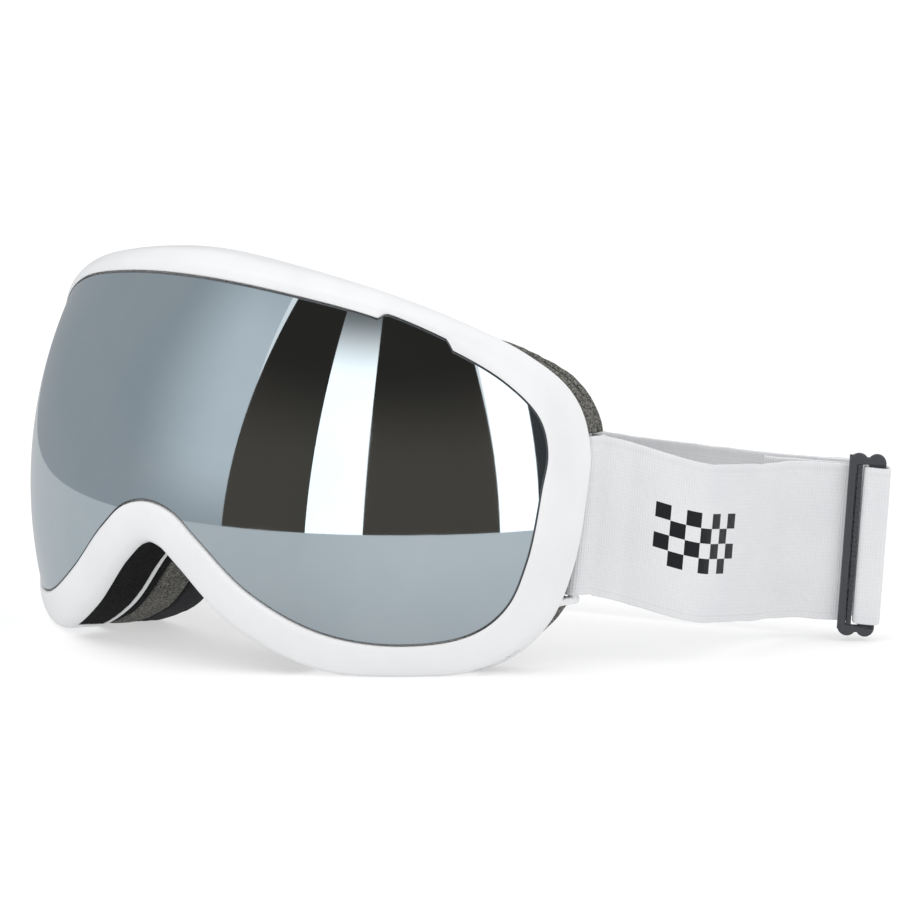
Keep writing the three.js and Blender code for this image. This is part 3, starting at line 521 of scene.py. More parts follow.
# ------------------------------------------------------------------ mesh helpers
def new_piece(name, points, faces, materials, smooth_angle=None):
    """A mesh piece from goggle-coordinate points."""
    mesh = bpy.data.meshes.new(name)
    mesh.from_pydata(to_row(points).tolist(), [], faces)
    mesh.validate()
    for material in materials if isinstance(materials, (list, tuple)) else [materials]:
        mesh.materials.append(material)
    mesh.polygons.foreach_set("use_smooth", [True] * len(mesh.polygons))
    if smooth_angle is not None:
        mesh.set_sharp_from_angle(angle=math.radians(smooth_angle))
    obj = bpy.data.objects.new(name, mesh)
    bpy.context.scene.collection.objects.link(obj)
    return obj


def rounded_section(corners, radii, turns=4):
    """Rounds the corners of closed sections. corners is a list of (stations, 3) arrays."""
    out = []
    count = len(corners)
    for i, (p, radius) in enumerate(zip(corners, radii)):
        before = corners[i - 1] - p
        after = corners[(i + 1) % count] - p
        if radius <= 0:
            out.append(p)
            continue
        ends = []
        for side in (before, after):
            length = np.linalg.norm(side, axis=1)[:, None]
            ends.append(p + side * np.minimum(radius / np.maximum(length, 1e-6), 0.46))
        for k in range(turns):
            t = k / (turns - 1)
            out.append((1 - t) ** 2 * ends[0] + 2 * t * (1 - t) * p + t * t * ends[1])
    return out


def ring_mesh(sections):
    """Points and quads of a closed sweep; sections is a list of (stations, 3) arrays."""
    grid = np.stack(sections, 1)
    n, m = grid.shape[:2]
    faces = []
    for i in range(n):
        here, there = i * m, ((i + 1) % n) * m
        for j in range(m):
            k = (j + 1) % m
            faces.append((here + j, here + k, there + k, there + j))
    return grid.reshape(-1, 3), faces


def strip_mesh(sections):
    """Points and faces of an open sweep, capped; sections is (stations, around, 3)."""
    n, m = sections.shape[:2]
    faces = [tuple(range(m))[::-1], tuple((n - 1) * m + j for j in range(m))]
    for i in range(n - 1):
        for j in range(m):
            k = (j + 1) % m
            faces.append((i * m + j, i * m + k, (i + 1) * m + k, (i + 1) * m + j))
    return sections.reshape(-1, 3), faces


def joined(parts):
    """Several (points, faces) pairs as one."""
    points, faces, start = [], [], 0
    for part_points, part_faces in parts:
        points.append(part_points)
        faces += [tuple(start + k for k in face) for face in part_faces]
        start += len(part_points)
    return np.vstack(points), faces


def new_solid(name, points, faces, materials, smooth_angle=None):
    """A closed mesh piece, with its faces turned outwards."""
    obj = new_piece(name, points, faces, materials, smooth_angle)
    bm = bmesh.new()
    bm.from_mesh(obj.data)
    bmesh.ops.recalc_face_normals(bm, faces=bm.faces)
    bm.to_mesh(obj.data)
    bm.free()
    return obj


def cut(obj, cutter):
    """Takes the cutter's shape out of a piece, and removes the cutter."""
    modifier = obj.modifiers.new("cut", "BOOLEAN")
    modifier.operation = "DIFFERENCE"
    modifier.object = cutter
    modifier.solver = "EXACT"
    modifier.use_self = True
    depsgraph = bpy.context.evaluated_depsgraph_get()
    mesh = bpy.data.meshes.new_from_object(obj.evaluated_get(depsgraph))
    obj.modifiers.clear()
    obj.data = mesh
    bpy.data.objects.remove(cutter)


# ------------------------------------------------------------------ frame
WALL = 1.6 + 0.12 * ring.depth  # thickness of the side wall, more where it is deeper


def make_frame():
    lip = ring.tab + LENS_GAP
    width = ring.band - lip
    rear = ring.edge[:, 1] + ring.depth
    side_front = ring.inward(0, np.minimum(ring.edge[:, 1] + 1.9, rear - 1.4))
    side_rear = ring.inward(0, rear - 0.4)

    def clear_of_flange(p):
        p[:, 1] = np.minimum(p[:, 1], ring.flange(p[:, 0]) - FLANGE_THICKNESS - 0.5)
        return p

    def ledge(under):
        return on_barrel(ring.s - LEDGE_REACH * ring.ns, ring.z - LEDGE_REACH * ring.nz, under)

    cavity_rear = ring.on_flange(WALL, -FLANGE_THICKNESS)
    cavity_front = cavity_rear.copy()
    behind_face = ring.face(ring.band - 1.5, 2.9)
    cavity_front[:, 1] = np.minimum(cavity_rear[:, 1] - 0.5, behind_face[:, 1])
    behind_lip = behind_barrel(ring.face(np.minimum(lip + 1.6, ring.band - WALL - 0.3)),
                               LENS_THICKNESS + LEDGE_THICKNESS + 0.7)
    under = LENS_THICKNESS + FRONT_GAP
    corners = [
        (ring.face(lip, -0.5), 0.35),
        (ring.face(lip + np.minimum(1, 0.2 * width), -1), 0.8),
        (ring.face(lip + width / 2, -1.3), 2.2),
        (ring.face(ring.band - np.minimum(1.7, 0.3 * width), -0.6), 1.6),
        (ring.face(ring.band - np.minimum(0.5, 0.12 * width), 0.5), 1.0),
        (side_front, 1.0),
        (side_rear, 0.35),
        (ring.on_flange(0.5), 0.35),
        (ring.on_flange(FLANGE_WIDTH / 2), 0),
        (ring.on_flange(FLANGE_WIDTH), 0.5),
        (ring.on_flange(FLANGE_WIDTH, -FLANGE_THICKNESS), 0.5),
        (cavity_rear, 0.3),
        (cavity_front, 0.3),
        (clear_of_flange(behind_lip), 0.3),
        (clear_of_flange(ledge(under + LEDGE_THICKNESS)), 0.4),
        (ledge(under), 0.3),
        (behind_barrel(ring.face(lip), under), 0.1),
    ]
    obj = new_solid("frame_shell", *ring_mesh(rounded_section(*zip(*corners))), WHITE)
    cut(obj, make_cutter())
    for polygon in obj.data.polygons:
        polygon.use_smooth = True
    obj.data.set_sharp_from_angle(angle=math.radians(38))
    return obj


NOSE_REACH, NOSE_RECESS, NOSE_FRONT = 46, 1.9, 2.4
SLOT_FRONT, SLOT_REACH, SLOT_TOP = 2.2, 66, 17.5
SLOT_START, SLOT_LENGTH, SLOT_PITCH = 0.8, 4.0, 5.4
CUTTER_OVERLAP = 3  # how far the cutters stand out past the outer edge


def edge_strip(picks, outer, inner, behind_face, ahead_of_flange):
    """Sections of a strip along the outline, between two insets from the outer edge."""
    front = ring.edge[:, 1] + behind_face

    def corner(inset, at_front):
        if at_front:
            return ring.inward(inset, front)[picks]
        level = ring.inward(inset, ring.edge[:, 1] + ring.depth)
        return ring.inward(inset, ring.flange(level[:, 0]) - ahead_of_flange)[picks]

    return np.stack([corner(outer, True), corner(outer, False), corner(inner, False),
                     corner(inner, True)], 1)


def nose_picks():
    """Stations round the nose."""
    near = (np.abs(ring.s) < NOSE_REACH) & (ring.z < WIDEST_Z + 12)
    return np.flatnonzero(near)


def slot_runs():
    """Index runs of the vent slots along the bottom of each lobe."""
    runs = []
    for side in (-1, 1):
        low = np.flatnonzero((side * ring.s > SLOT_REACH) & (ring.z < SLOT_TOP))
        nearest = ring.s[low].min() if side > 0 else ring.s[low].max()
        travel = np.abs(ring.s[low] - nearest)
        for start in np.arange(SLOT_START, travel.max() - SLOT_LENGTH, SLOT_PITCH):
            run = low[(travel >= start) & (travel <= start + SLOT_LENGTH)]
            if len(run) > 2:
                runs.append(run)
    return runs


def make_cutter():
    """The nose recess and the vent slots as one object of separate closed strips."""
    strips = [edge_strip(nose_picks(), -CUTTER_OVERLAP, NOSE_RECESS, NOSE_FRONT,
                         FLANGE_THICKNESS)]
    for run in slot_runs():
        strips.append(edge_strip(run, -CUTTER_OVERLAP, WALL + 0.4, SLOT_FRONT,
                                 FLANGE_THICKNESS + 0.3))
    return new_solid("cutter", *joined([strip_mesh(strip) for strip in strips]), WHITE)


ARM_AHEAD, ARM_HALF = 3.15, (1.5, 4.6, 0.85)  # arm's middle ahead of its bar, and half size


def make_strap_bars():
    """The bars that carry the strap ends, with the arms that hold them."""
    parts = []
    for side in (-1, 1):
        lean = np.array([side * LUG_LEAN.x, LUG_LEAN.y, LUG_LEAN.z])
        centre = np.array([side * LUG_X, LUG_Y, LUG_Z])
        across = np.cross(lean, [0, 1, 0])
        across /= np.linalg.norm(across)
        other = np.cross(lean, across)
        angles = np.linspace(0, 2 * math.pi, 24, endpoint=False)
        lengths = LUG_HALF_LENGTH * np.array([-1, -0.99, 0.99, 1])
        shrink = LUG_RADIUS * np.array([0.8, 1, 1, 0.8])
        rows = np.array([[centre + lean * t + r * (across * math.cos(a) + other * math.sin(a))
                          for a in angles] for t, r in zip(lengths, shrink)])
        parts.append(strip_mesh(rows))
        for end in (-1, 1):
            tip = np.array([LUG_LEAN.x, LUG_LEAN.y, LUG_LEAN.z]) * end * (LUG_HALF_LENGTH - 0.85)
            mid = np.array([side * (LUG_X + tip[0] - 0.4), LUG_Y + tip[1], LUG_Z + tip[2]])
            parts.append(rounded_box(mid + np.array([0, -ARM_AHEAD, 0]), ARM_HALF, 0.4))
    return new_solid("strap_bars", *joined(parts), WHITE, 40)


def rounded_box(centre, half, radius, turns=5):
    """A box with every edge along Y rounded and its ends eased."""
    hx, hy, hz = half
    loop = []
    for cx, cz, start in ((1, 1, 0), (-1, 1, 90), (-1, -1, 180), (1, -1, 270)):
        for k in range(turns):
            a = math.radians(start + 90 * k / (turns - 1))
            loop.append((cx * (hx - radius) + radius * math.cos(a),
                         cz * (hz - radius) + radius * math.sin(a)))
    rows = []
    for y, scale in ((-hy, 0.75), (-hy + radius * 0.4, 0.95), (-hy + radius, 1),
                     (hy - radius, 1), (hy - radius * 0.4, 0.95), (hy, 0.75)):
        rows.append([(centre[0] + x * scale, centre[1] + y, centre[2] + z * scale)
                     for x, z in loop])
    return strip_mesh(np.array(rows))


frame_shell = make_frame()
strap_bars = make_strap_bars()
for piece in (frame_shell, strap_bars):
    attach(piece, "frame")
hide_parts("frame")


# ------------------------------------------------------------------ lenses
LENS_CENTRE = (0.0, 60.0)
LENS_RINGS = 46


def make_lens(name, out, under, thickness, bevel, front_material, back_material):
    """A barrel-shaped sheet trimmed to the outline: a fine polar grid with an eased rim."""
    rim = np.stack([ring.s + out * ring.ns, ring.z + out * ring.nz], -1)
    centre = np.array(LENS_CENTRE)
    reach = np.linalg.norm(rim - centre, axis=1)[:, None]
    inner = rim - (rim - centre) / reach * bevel

    def surface(level):
        rows = []
        for f in np.linspace(0, 1, LENS_RINGS + 1)[1:]:
            flat = centre + f * (inner - centre)
            rows.append(on_barrel(flat[:, 0], flat[:, 1], level))
        return rows

    def middle(level):
        return on_barrel(centre[:1], centre[1:], level)

    edge = on_barrel(rim[:, 0], rim[:, 1], under)
    front = surface(under)
    back = surface(under + thickness)
    rim_front = edge.copy()
    rim_front[:, 1] += bevel
    rim_back = behind_barrel(edge, under + thickness - bevel)
    rows = front + [rim_front, rim_back] + back[::-1]
    n = ring.count
    points = np.vstack([middle(under), *rows, middle(under + thickness)])
    faces, kinds = [], []
    front_rows = len(front)
    for j in range(n):
        k = (j + 1) % n
        faces.append((0, 1 + j, 1 + k))
        kinds.append(0)
        for r in range(len(rows) - 1):
            a, b = 1 + r * n, 1 + (r + 1) * n
            faces.append((a + j, b + j, b + k, a + k))
            # The eased band at the rim and the rim itself take the back material: on the outer
            # lens a thin dark line, partly the lens's own smoke tint and partly painted shade of
            # the gap between lens and frame.
            kinds.append(0 if r < front_rows - 1 else 1)
        last = 1 + (len(rows) - 1) * n
        faces.append((last + k, last + j, len(points) - 1))
        kinds.append(1)
    obj = new_piece(name, points, faces, [front_material, back_material])
    obj.data.polygons.foreach_set("material_index", kinds)
    set_barrel_normals(obj.data, front_rows * n)
    return obj


def set_barrel_normals(mesh, count):
    """Gives the front face the barrel's own normals, so that its reflections are even."""
    mesh.update()
    normals = np.array([v.vector for v in mesh.vertex_normals], float)
    outward = np.mean([normals[k] @ np.array([0, -1, 0]) for k in range(0, count, 97)])
    if outward < 0:
        mesh.flip_normals()
        mesh.update()
        normals = -normals
    co = (np.array([v.co for v in mesh.vertices], float) - AXIS) / MM
    x, y, z = co[: count + 1].T
    rise = (z - WIDEST_Z) / BARREL_ARCH
    flat = np.sqrt(1 - rise ** 2)
    plan = np.hypot(x, y)
    normals[: count + 1] = np.stack([x / plan * flat, y / plan * flat, rise], -1)
    mesh.normals_split_custom_set_from_vertices(normals.tolist())


spacer_under = LENS_THICKNESS + FRONT_GAP
inner_under = spacer_under + SPACER_THICKNESS + FRONT_GAP
# The outer lens's eased rim band takes the smoke material, a thin dark line that is partly painted
# shade of the gap at the frame's lip.
outer_lens = make_lens("lens_outer", ring.tab, 0, LENS_THICKNESS, 0.25, MIRROR, SMOKE_AND_GAP_SHADE)
inner_lens = make_lens("lens_inner", 0.5 - SPACER_INSET, inner_under, INNER_LENS_THICKNESS, 0.2,
                       CLEAR, CLEAR)


def make_spacer():
    def at(inset, under):
        return on_barrel(ring.s - inset * ring.ns, ring.z - inset * ring.nz, under)

    far = SPACER_INSET + SPACER_WIDTH
    corners = [(at(SPACER_INSET, spacer_under), 0.3), (at(far, spacer_under), 0.3),
               (at(far, spacer_under + SPACER_THICKNESS), 0.3),
               (at(SPACER_INSET, spacer_under + SPACER_THICKNESS), 0.3)]
    return new_solid("lens_spacer", *ring_mesh(rounded_section(*zip(*corners))), BLACK_FOAM)


spacer = make_spacer()
for piece, node, slot in ((outer_lens, "outer_lens", "lens_mirror"),
                          (inner_lens, "inner_lens", "lens_clear"),
                          (spacer, "lens_spacer_foam", "vent_foam")):
    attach(piece, "lens_unit")
    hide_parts(node)


# ------------------------------------------------------------------ foams
def roughen(obj, amount, scale, seed):
    """Moves the surface in and out by a little noise, as cut foam is never quite flat."""
    mesh = obj.data
    mesh.update()
    shift = Vector((seed * 3.1, seed * 1.7, seed * 2.3))
    moved = []
    for v in mesh.vertices:
        q = v.co / MM / scale + shift
        moved.append(v.co + v.normal * (amount * MM * noise.noise(q)))
    for v, co in zip(mesh.vertices, moved):
        v.co = co
        v.co.z = max(v.co.z, AXIS[2] + 0.02 * MM)


TEMPLE_LIMIT = 78.4  # the padding is cut away outside this at the strap bars
FOAM_GAP = 0.45
BARE_SIDE = 9.6  # padding thinner than this shows bare grey foam round its outer side
SIDE_ROWS = 9


def clear_temples(p):
    level = (p[:, 2] - LUG_Z) / (STRAP_WIDTH / 2 + 0.7)
    inside = smooth((1.0 - np.abs(level)) / 0.03)
    limit = TEMPLE_LIMIT * inside + 95 * (1 - inside)
    x = np.sign(p[:, 0]) * np.minimum(np.abs(p[:, 0]), limit)
    return np.stack([np.where(p[:, 1] > LUG_Y - 23, x, p[:, 0]), p[:, 1], p[:, 2]], -1)


def make_face_foam(name, start, stop, rounding, bulge, material, seed):
    """One layer of the face padding, with sides that bulge a little between its faces."""
    outer, inner = ring.inset, FOAM_INNER
    span = stop - start

    def at(inset, share, shift=0.0):
        return clear_temples(ring.on_flange(inset, FOAM_GAP + share * ring.foam + shift))

    def across(t):
        return outer + (inner - outer) * t

    def side_rows(edge, way):
        """One side, from its front edge to its rear face; way is 1 outside and -1 inside."""
        rows = [at(edge + way * 0.15, start)]
        for t in (0.12, 0.3, 0.5, 0.7, 0.86):
            swell = bulge * math.sin(math.pi * t)
            rows.append(at(edge - way * swell, start + span * t, -rounding * t))
        for a in np.radians(np.linspace(0, 90, 5)):
            rows.append(at(edge + way * rounding * (1 - math.cos(a)), stop,
                           rounding * (math.sin(a) - 1)))
        return rows

    rear = [at(across(t), stop, 0.25 * bulge * math.sin(math.pi * t))
            for t in (0.2, 0.35, 0.5, 0.65, 0.8)]
    front = [at(across(t), start) for t in (0.75, 0.5, 0.25)]
    rows = side_rows(outer, 1) + rear + side_rows(inner, -1)[::-1] + front
    obj = new_solid(name, *ring_mesh(rows), [material, GREY_FOAM])
    bare = np.repeat(ring.foam < BARE_SIDE, len(rows))
    side = np.tile(np.arange(len(rows)) < SIDE_ROWS, ring.count)
    obj.data.polygons.foreach_set("material_index", (bare & side).astype(int))
    roughen(obj, 0.16, 1.6, seed)
    roughen(obj, 0.3, 9.0, seed + 5)
    return obj


foam_base = make_face_foam("foam_base", 0, 0.1, 0.2, 0.05, BLACK_FOAM, 1)
foam_middle = make_face_foam("foam_middle", 0.13, 0.55, 0.4, 0.15, GREY_FOAM, 2)
foam_cover = make_face_foam("foam_cover", 0.58, 1, 1.6, 0.25, FLEECE, 3)
for piece, node, slot in ((foam_base, "face_foam_base", "vent_foam"),
                          (foam_middle, "face_foam_middle", "grey_foam"),
                          (foam_cover, "face_foam_cover", "fleece")):
    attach(piece, "frame")
    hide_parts(node)


def divided(strip, shares):
    """Four-cornered sections with each side divided into that many steps."""
    rows = []
    for k, steps in enumerate(shares):
        for t in np.arange(steps) / steps:
            rows.append(strip[:, k] * (1 - t) + strip[:, (k + 1) % 4] * t)
    return np.stack(rows, 1)


def make_nose_vent_foam():
    """Foam band that fills the recess round the nose."""
    strip = edge_strip(nose_picks(), 0.12, NOSE_RECESS - 0.1, NOSE_FRONT + 0.1,
                       FLANGE_THICKNESS + 0.1)
    obj = new_solid("nose_vent", *strip_mesh(divided(strip, (14, 2, 14, 2))), BLACK_FOAM, 50)
    roughen(obj, 0.1, 1.1, 4)
    return obj


nose_vent = make_nose_vent_foam()
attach(nose_vent, "frame")
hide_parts("nose_vent_foam")


def make_lower_vent_foam(name, side):
    """Foam strip behind the vent slots of one lobe."""
    low = np.flatnonzero((side * ring.s > SLOT_REACH - 3) & (ring.z < 19))
    strip = edge_strip(low, WALL + 0.1, WALL + 2.1, SLOT_FRONT + 0.3, FLANGE_THICKNESS + 0.2)
    deep = strip[:, 1, 1] - strip[:, 0, 1] > 0.8
    return new_solid(name, *strip_mesh(divided(strip[deep], (4, 4, 4, 4))), BLACK_FOAM, 50)


for side, word in ((1, "left"), (-1, "right")):
    vent = make_lower_vent_foam(f"lower_vent_{word}", side)
    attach(vent, "frame")
    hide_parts(f"lower_vent_foam_{word}")


# ------------------------------------------------------------------ straps
ALONG = np.array([math.cos(SLIDER_HEADING), math.sin(SLIDER_HEADING)])
FACING = np.array([math.sin(SLIDER_HEADING), -math.cos(SLIDER_HEADING)])
SLIDER_UP = (Vector((0, 0, math.cos(SLIDER_TILT)))
             + Vector((*ALONG, 0)) * math.sin(SLIDER_TILT))
SLIDER_PLAN = np.array([SLIDER.x, SLIDER.y])


def from_slider(w, t):
    return SLIDER_PLAN + w * ALONG + t * FACING


def slider_w(p):
    return (p - SLIDER_PLAN) @ ALONG


def slider_rise(w):
    return SLIDER.z - math.tan(SLIDER_TILT) * w


def near_strap_place(p):
    w = slider_w(p)
    share = float(smooth((w + 58) / 44))
    z = LUG_Z if w < -68 else slider_rise(w) + 0.215 * max(0, -28 - w)
    return min(z, LUG_Z), LUG_LEAN.lerp(SLIDER_UP, share)


def far_strap_place(p):
    w = slider_w(p)
    share = float(smooth((w + 180) / 150))
    lean = Vector((-LUG_LEAN.x, LUG_LEAN.y, LUG_LEAN.z))
    z = slider_rise(max(w, -12)) + 0.035 * max(0, min(48, -12 - w)) + 0.0818 * max(0, -60 - w)
    return min(z, LUG_Z), lean.lerp(SLIDER_UP, share)


def straight_axis(origin, way):
    """Plan axis that runs straight away from a bar: l along it, t to its left."""
    way = np.array(way) / np.linalg.norm(way)
    left = np.array([-way[1], way[0]])
    return lambda l, t: np.array(origin) + way * l + left * t


def turning_axis(origin, way, aside, turn_from, radius):
    """Plan axis that leaves a bar one way and then turns a quarter round to another."""
    def at(l, t):
        angle = min(max((l - turn_from) / radius, 0), math.pi / 2)
        past = max(0, l - turn_from - radius * math.pi / 2)
        ahead = min(l, turn_from) + radius * math.sin(angle)
        d = way * math.cos(angle) + aside * math.sin(angle)
        return (origin + way * ahead + aside * (radius * (1 - math.cos(angle)) + past)
                + np.array([-d[1], d[0]]) * t)

    return at


def fold_path(axis, side, bar, straight, sewn):
    """Middle line of a strap end folded round a bar: short ply's end, round the bar, long ply.

    bar is the half width, half depth and corner radius of its rounded section."""
    half_width, half_depth, corner = bar
    off = STRAP_GAP + STRAP_THICKNESS / 2
    closed = straight + half_width + STRAP_GAP + STRAP_THICKNESS + 2.4
    flat = half_width - corner

    def spread(l):
        return np.interp(float(smooth((l - straight) / (closed - straight))), [0, 1],
                         [half_width + off, STRAP_THICKNESS / 2 + 0.03])

    stops = [straight + (closed - straight) * f for f in (0, 0.2, 0.4, 0.6, 0.8)]
    stops += list(np.linspace(closed, sewn, 5))
    turn = []
    for t, start in ((-flat, -90), (flat, -180)):
        for a in np.radians(start - np.linspace(0, 90, 5)):
            turn.append((corner - half_depth + (corner + off) * math.cos(a),
                         t + (corner + off) * math.sin(a)))
    if flat == 0:
        del turn[5]
    if not straight:
        stops = stops[1:]
    short = [axis(l, side * spread(l)) for l in reversed(stops)]
    wrap = [axis(l, side * t) for l, t in reversed(turn)]
    return short + wrap + [axis(l, -side * spread(l)) for l in stops]


def resample(points, step):
    """The path as evenly spaced points, following a spline through the given ones."""
    dense = spline(np.array(points), False, lambda i: np.arange(14) / 14)
    travel = np.concatenate([[0], np.cumsum(np.linalg.norm(np.diff(dense, axis=0), axis=1))])
    count = int(travel[-1] / step)
    even = np.linspace(0, travel[-1], count + 1)
    return np.stack([np.interp(even, travel, dense[:, k]) for k in range(2)], -1)


def strap_section():
    """Half section across the webbing: positions across, and height of its outer side."""
    half = STRAP_WIDTH / 2
    inner = np.concatenate([np.linspace(-half + 0.5, -half + 2, 4),
                            np.linspace(-half + 3, half - 3, 21),
                            np.linspace(half - 2, half - 0.5, 4)])
    turn = np.radians([75, 45, 15])
    ends = np.cos(turn) * 0.5
    lifts = np.sin(turn)
    top = [(-half + 0.5 - e, h) for e, h in zip(ends[::-1], lifts[::-1])]
    top += [(v, 1.0) for v in inner]
    top += [(half - 0.5 + e, h) for e, h in zip(ends, lifts)]
    return top


STRAP_STEP = 0.5  # spacing of cross-sections along the webbing


def make_strap(name, path, place, material, ripple):
    """A band of webbing along a plan path, standing up across its width."""
    plan = resample(path, STRAP_STEP)
    travel = np.arange(len(plan)) * STRAP_STEP
    ahead = np.gradient(plan, axis=0)
    ahead /= np.linalg.norm(ahead, axis=1)[:, None]
    top = strap_section()
    loop = [(v, h) for v, h in top] + [(v, -h) for v, h in top[::-1]]
    rows, uvs = [], []
    for i, p in enumerate(plan):
        z, up = place(p)
        middle = Vector((p[0], p[1], z))
        forward = Vector((ahead[i][0], ahead[i][1], 0))
        normal = forward.cross(up).normalized()
        row = []
        for v, h in loop:
            wave = ripple * noise.noise(Vector((travel[i] / 26, v / 17, 3.0)))
            edge_wave = 0.16 * noise.noise(Vector((travel[i] / 5, math.copysign(1, v) * 4, 7.0)))
            across = v + edge_wave * abs(v) / STRAP_WIDTH * 2
            row.append(middle + up * across + normal * (h * STRAP_THICKNESS / 2 + wave))
            uvs.append((travel[i] / 10, v / 10))
        rows.append(row)
    obj = new_solid(name, *strip_mesh(np.array(rows, float)), material, 60)
    layer = obj.data.uv_layers.new(name="weave")
    for corner in obj.data.loops:
        layer.data[corner.index].uv = uvs[corner.vertex_index]
    return obj


ROUND_LUG = (LUG_RADIUS, LUG_RADIUS, LUG_RADIUS)
incoming = PLATE[0] - STRAP_GAP - STRAP_THICKNESS / 2
rear_bar_t = incoming - STRAP_THICKNESS / 2 - STRAP_GAP - REAR_BAR_RADIUS
tail = 2 * rear_bar_t - incoming


def near_path():
    """Plan of the near strap: folded at the temple bar, round the rear bar, and its tail."""
    fold = fold_path(straight_axis((LUG_X, LUG_Y), (0.56, 0.828)), 1, ROUND_LUG, 0, SEWN_LENGTH)
    run = [(103, -5), (101.8, 8), (98.9, 21.5)]
    run += [from_slider(w, t) for w, t in ((-20, incoming + 1.5), (-15, incoming),
                                           (-11, incoming), (-6.5, incoming))]
    r = incoming - rear_bar_t
    run += [from_slider(REAR_BAR[1] + r * math.cos(a), rear_bar_t + r * math.sin(a))
            for a in np.radians(np.linspace(90, -90, 9))]
    free = [(-6.5, tail), (-11, tail), (-15, tail - 0.1), (-20, tail - 0.5), (-27, tail - 1.2)]
    return fold + run + [from_slider(w, t) for w, t in free]


def far_path():
    """Plan of the far strap: folded at the temple bar and round the slider's end bar."""
    fold = fold_path(straight_axis((-LUG_X, LUG_Y), (-0.3, 0.954)), -1, ROUND_LUG, 0, SEWN_LENGTH)
    middle_t = sum(END_BAR_DEPTH) / 2
    bar = ((END_BAR[1] - END_BAR[0]) / 2, (END_BAR_DEPTH[1] - END_BAR_DEPTH[0]) / 2, 0.3)
    axis = turning_axis(from_slider(sum(END_BAR) / 2, middle_t), -FACING, -ALONG, 5.2, 5)
    end = fold_path(axis, 1, bar, middle_t - PLATE[0] + STRAP_GAP, 23)
    run = [(-88, -4), (-82, 4), (-70, 6), (-30, 14), (30, 27), (84, 40.5), from_slider(-21, -12.6)]
    return fold + run + end[::-1]


strap_near = make_strap("strap_near", near_path(), near_strap_place, MARKED_WEBBING, 0.12)
strap_far = make_strap("strap_far", far_path(), far_strap_place, WEBBING, 0.15)
for piece, node, start in ((strap_near, "strap_left", (LUG_X, LUG_Y, LUG_Z)),
                           (strap_far, "strap_right", (-LUG_X, LUG_Y, LUG_Z))):
    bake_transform(piece)
    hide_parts(node)


# ------------------------------------------------------------------ slider
SLIDER_SIDE = SLIDER_UP.cross(Vector((*FACING, 0))).normalized()


def in_slider(points):
    """Goggle coordinates of slider coordinates: along the strap, up the slider, outwards."""
    turn = np.array([SLIDER_SIDE, SLIDER_UP, (*FACING, 0)])
    return np.asarray(points, float) @ turn + np.array(SLIDER)


BAR_STEP, TOOTH_PITCH = 0.16, 1.25
PLATE_BEVEL = 0.42
POST_HALF = 0.85  # half height of the posts that carry the rear bar


def slider_bar(w_range, half, t_range, radius, teeth=0.0):
    """A bar across the slider with rounded edges, and teeth along its front if asked."""
    w0, w1 = w_range
    t0, t1 = t_range
    loop = []
    for cw, ct, start in ((w1 - radius, t1 - radius, 0), (w0 + radius, t1 - radius, 90),
                          (w0 + radius, t0 + radius, 180), (w1 - radius, t0 + radius, 270)):
        for a in np.radians(start + np.linspace(0, 90, 5)):
            loop.append((cw + radius * math.cos(a), ct + radius * math.sin(a)))
    rows = []
    for v in np.linspace(-half, half, int(2 * half / BAR_STEP) + 1):
        notch = teeth * 0.5 * (1 - math.cos(2 * math.pi * v / TOOTH_PITCH))
        rows.append([(w, v, t - notch if t > (t0 + t1) / 2 else t) for w, t in loop])
    return strip_mesh(in_slider(rows))


def plate_outline():
    """The slider's plate: two end loops joined along the outer bar, open towards the end bar."""
    def arc(cx, cy, r, start, stop, count=14):
        return [(cx + r * math.cos(a), cy + r * math.sin(a))
                for a in np.radians(np.linspace(start, stop, count))]

    left, right = OUTER_BAR[0] + 2.45, END_BAR[1] - 2.35
    top = SLIDER_HALF_HEIGHT
    upper = (arc(left, top - 2.45, 2.45, 180, 36) + arc(right, top - 2.35, 2.35, 144, 0)
             + arc(END_BAR[1] - 0.4, WINDOW_HALF + 0.4, 0.4, 0, -90, 5)
             + arc(OUTER_BAR[1] + 0.5, WINDOW_HALF - 0.5, 0.5, 90, 180, 6))
    return upper + [(w, -v) for w, v in reversed(upper)]


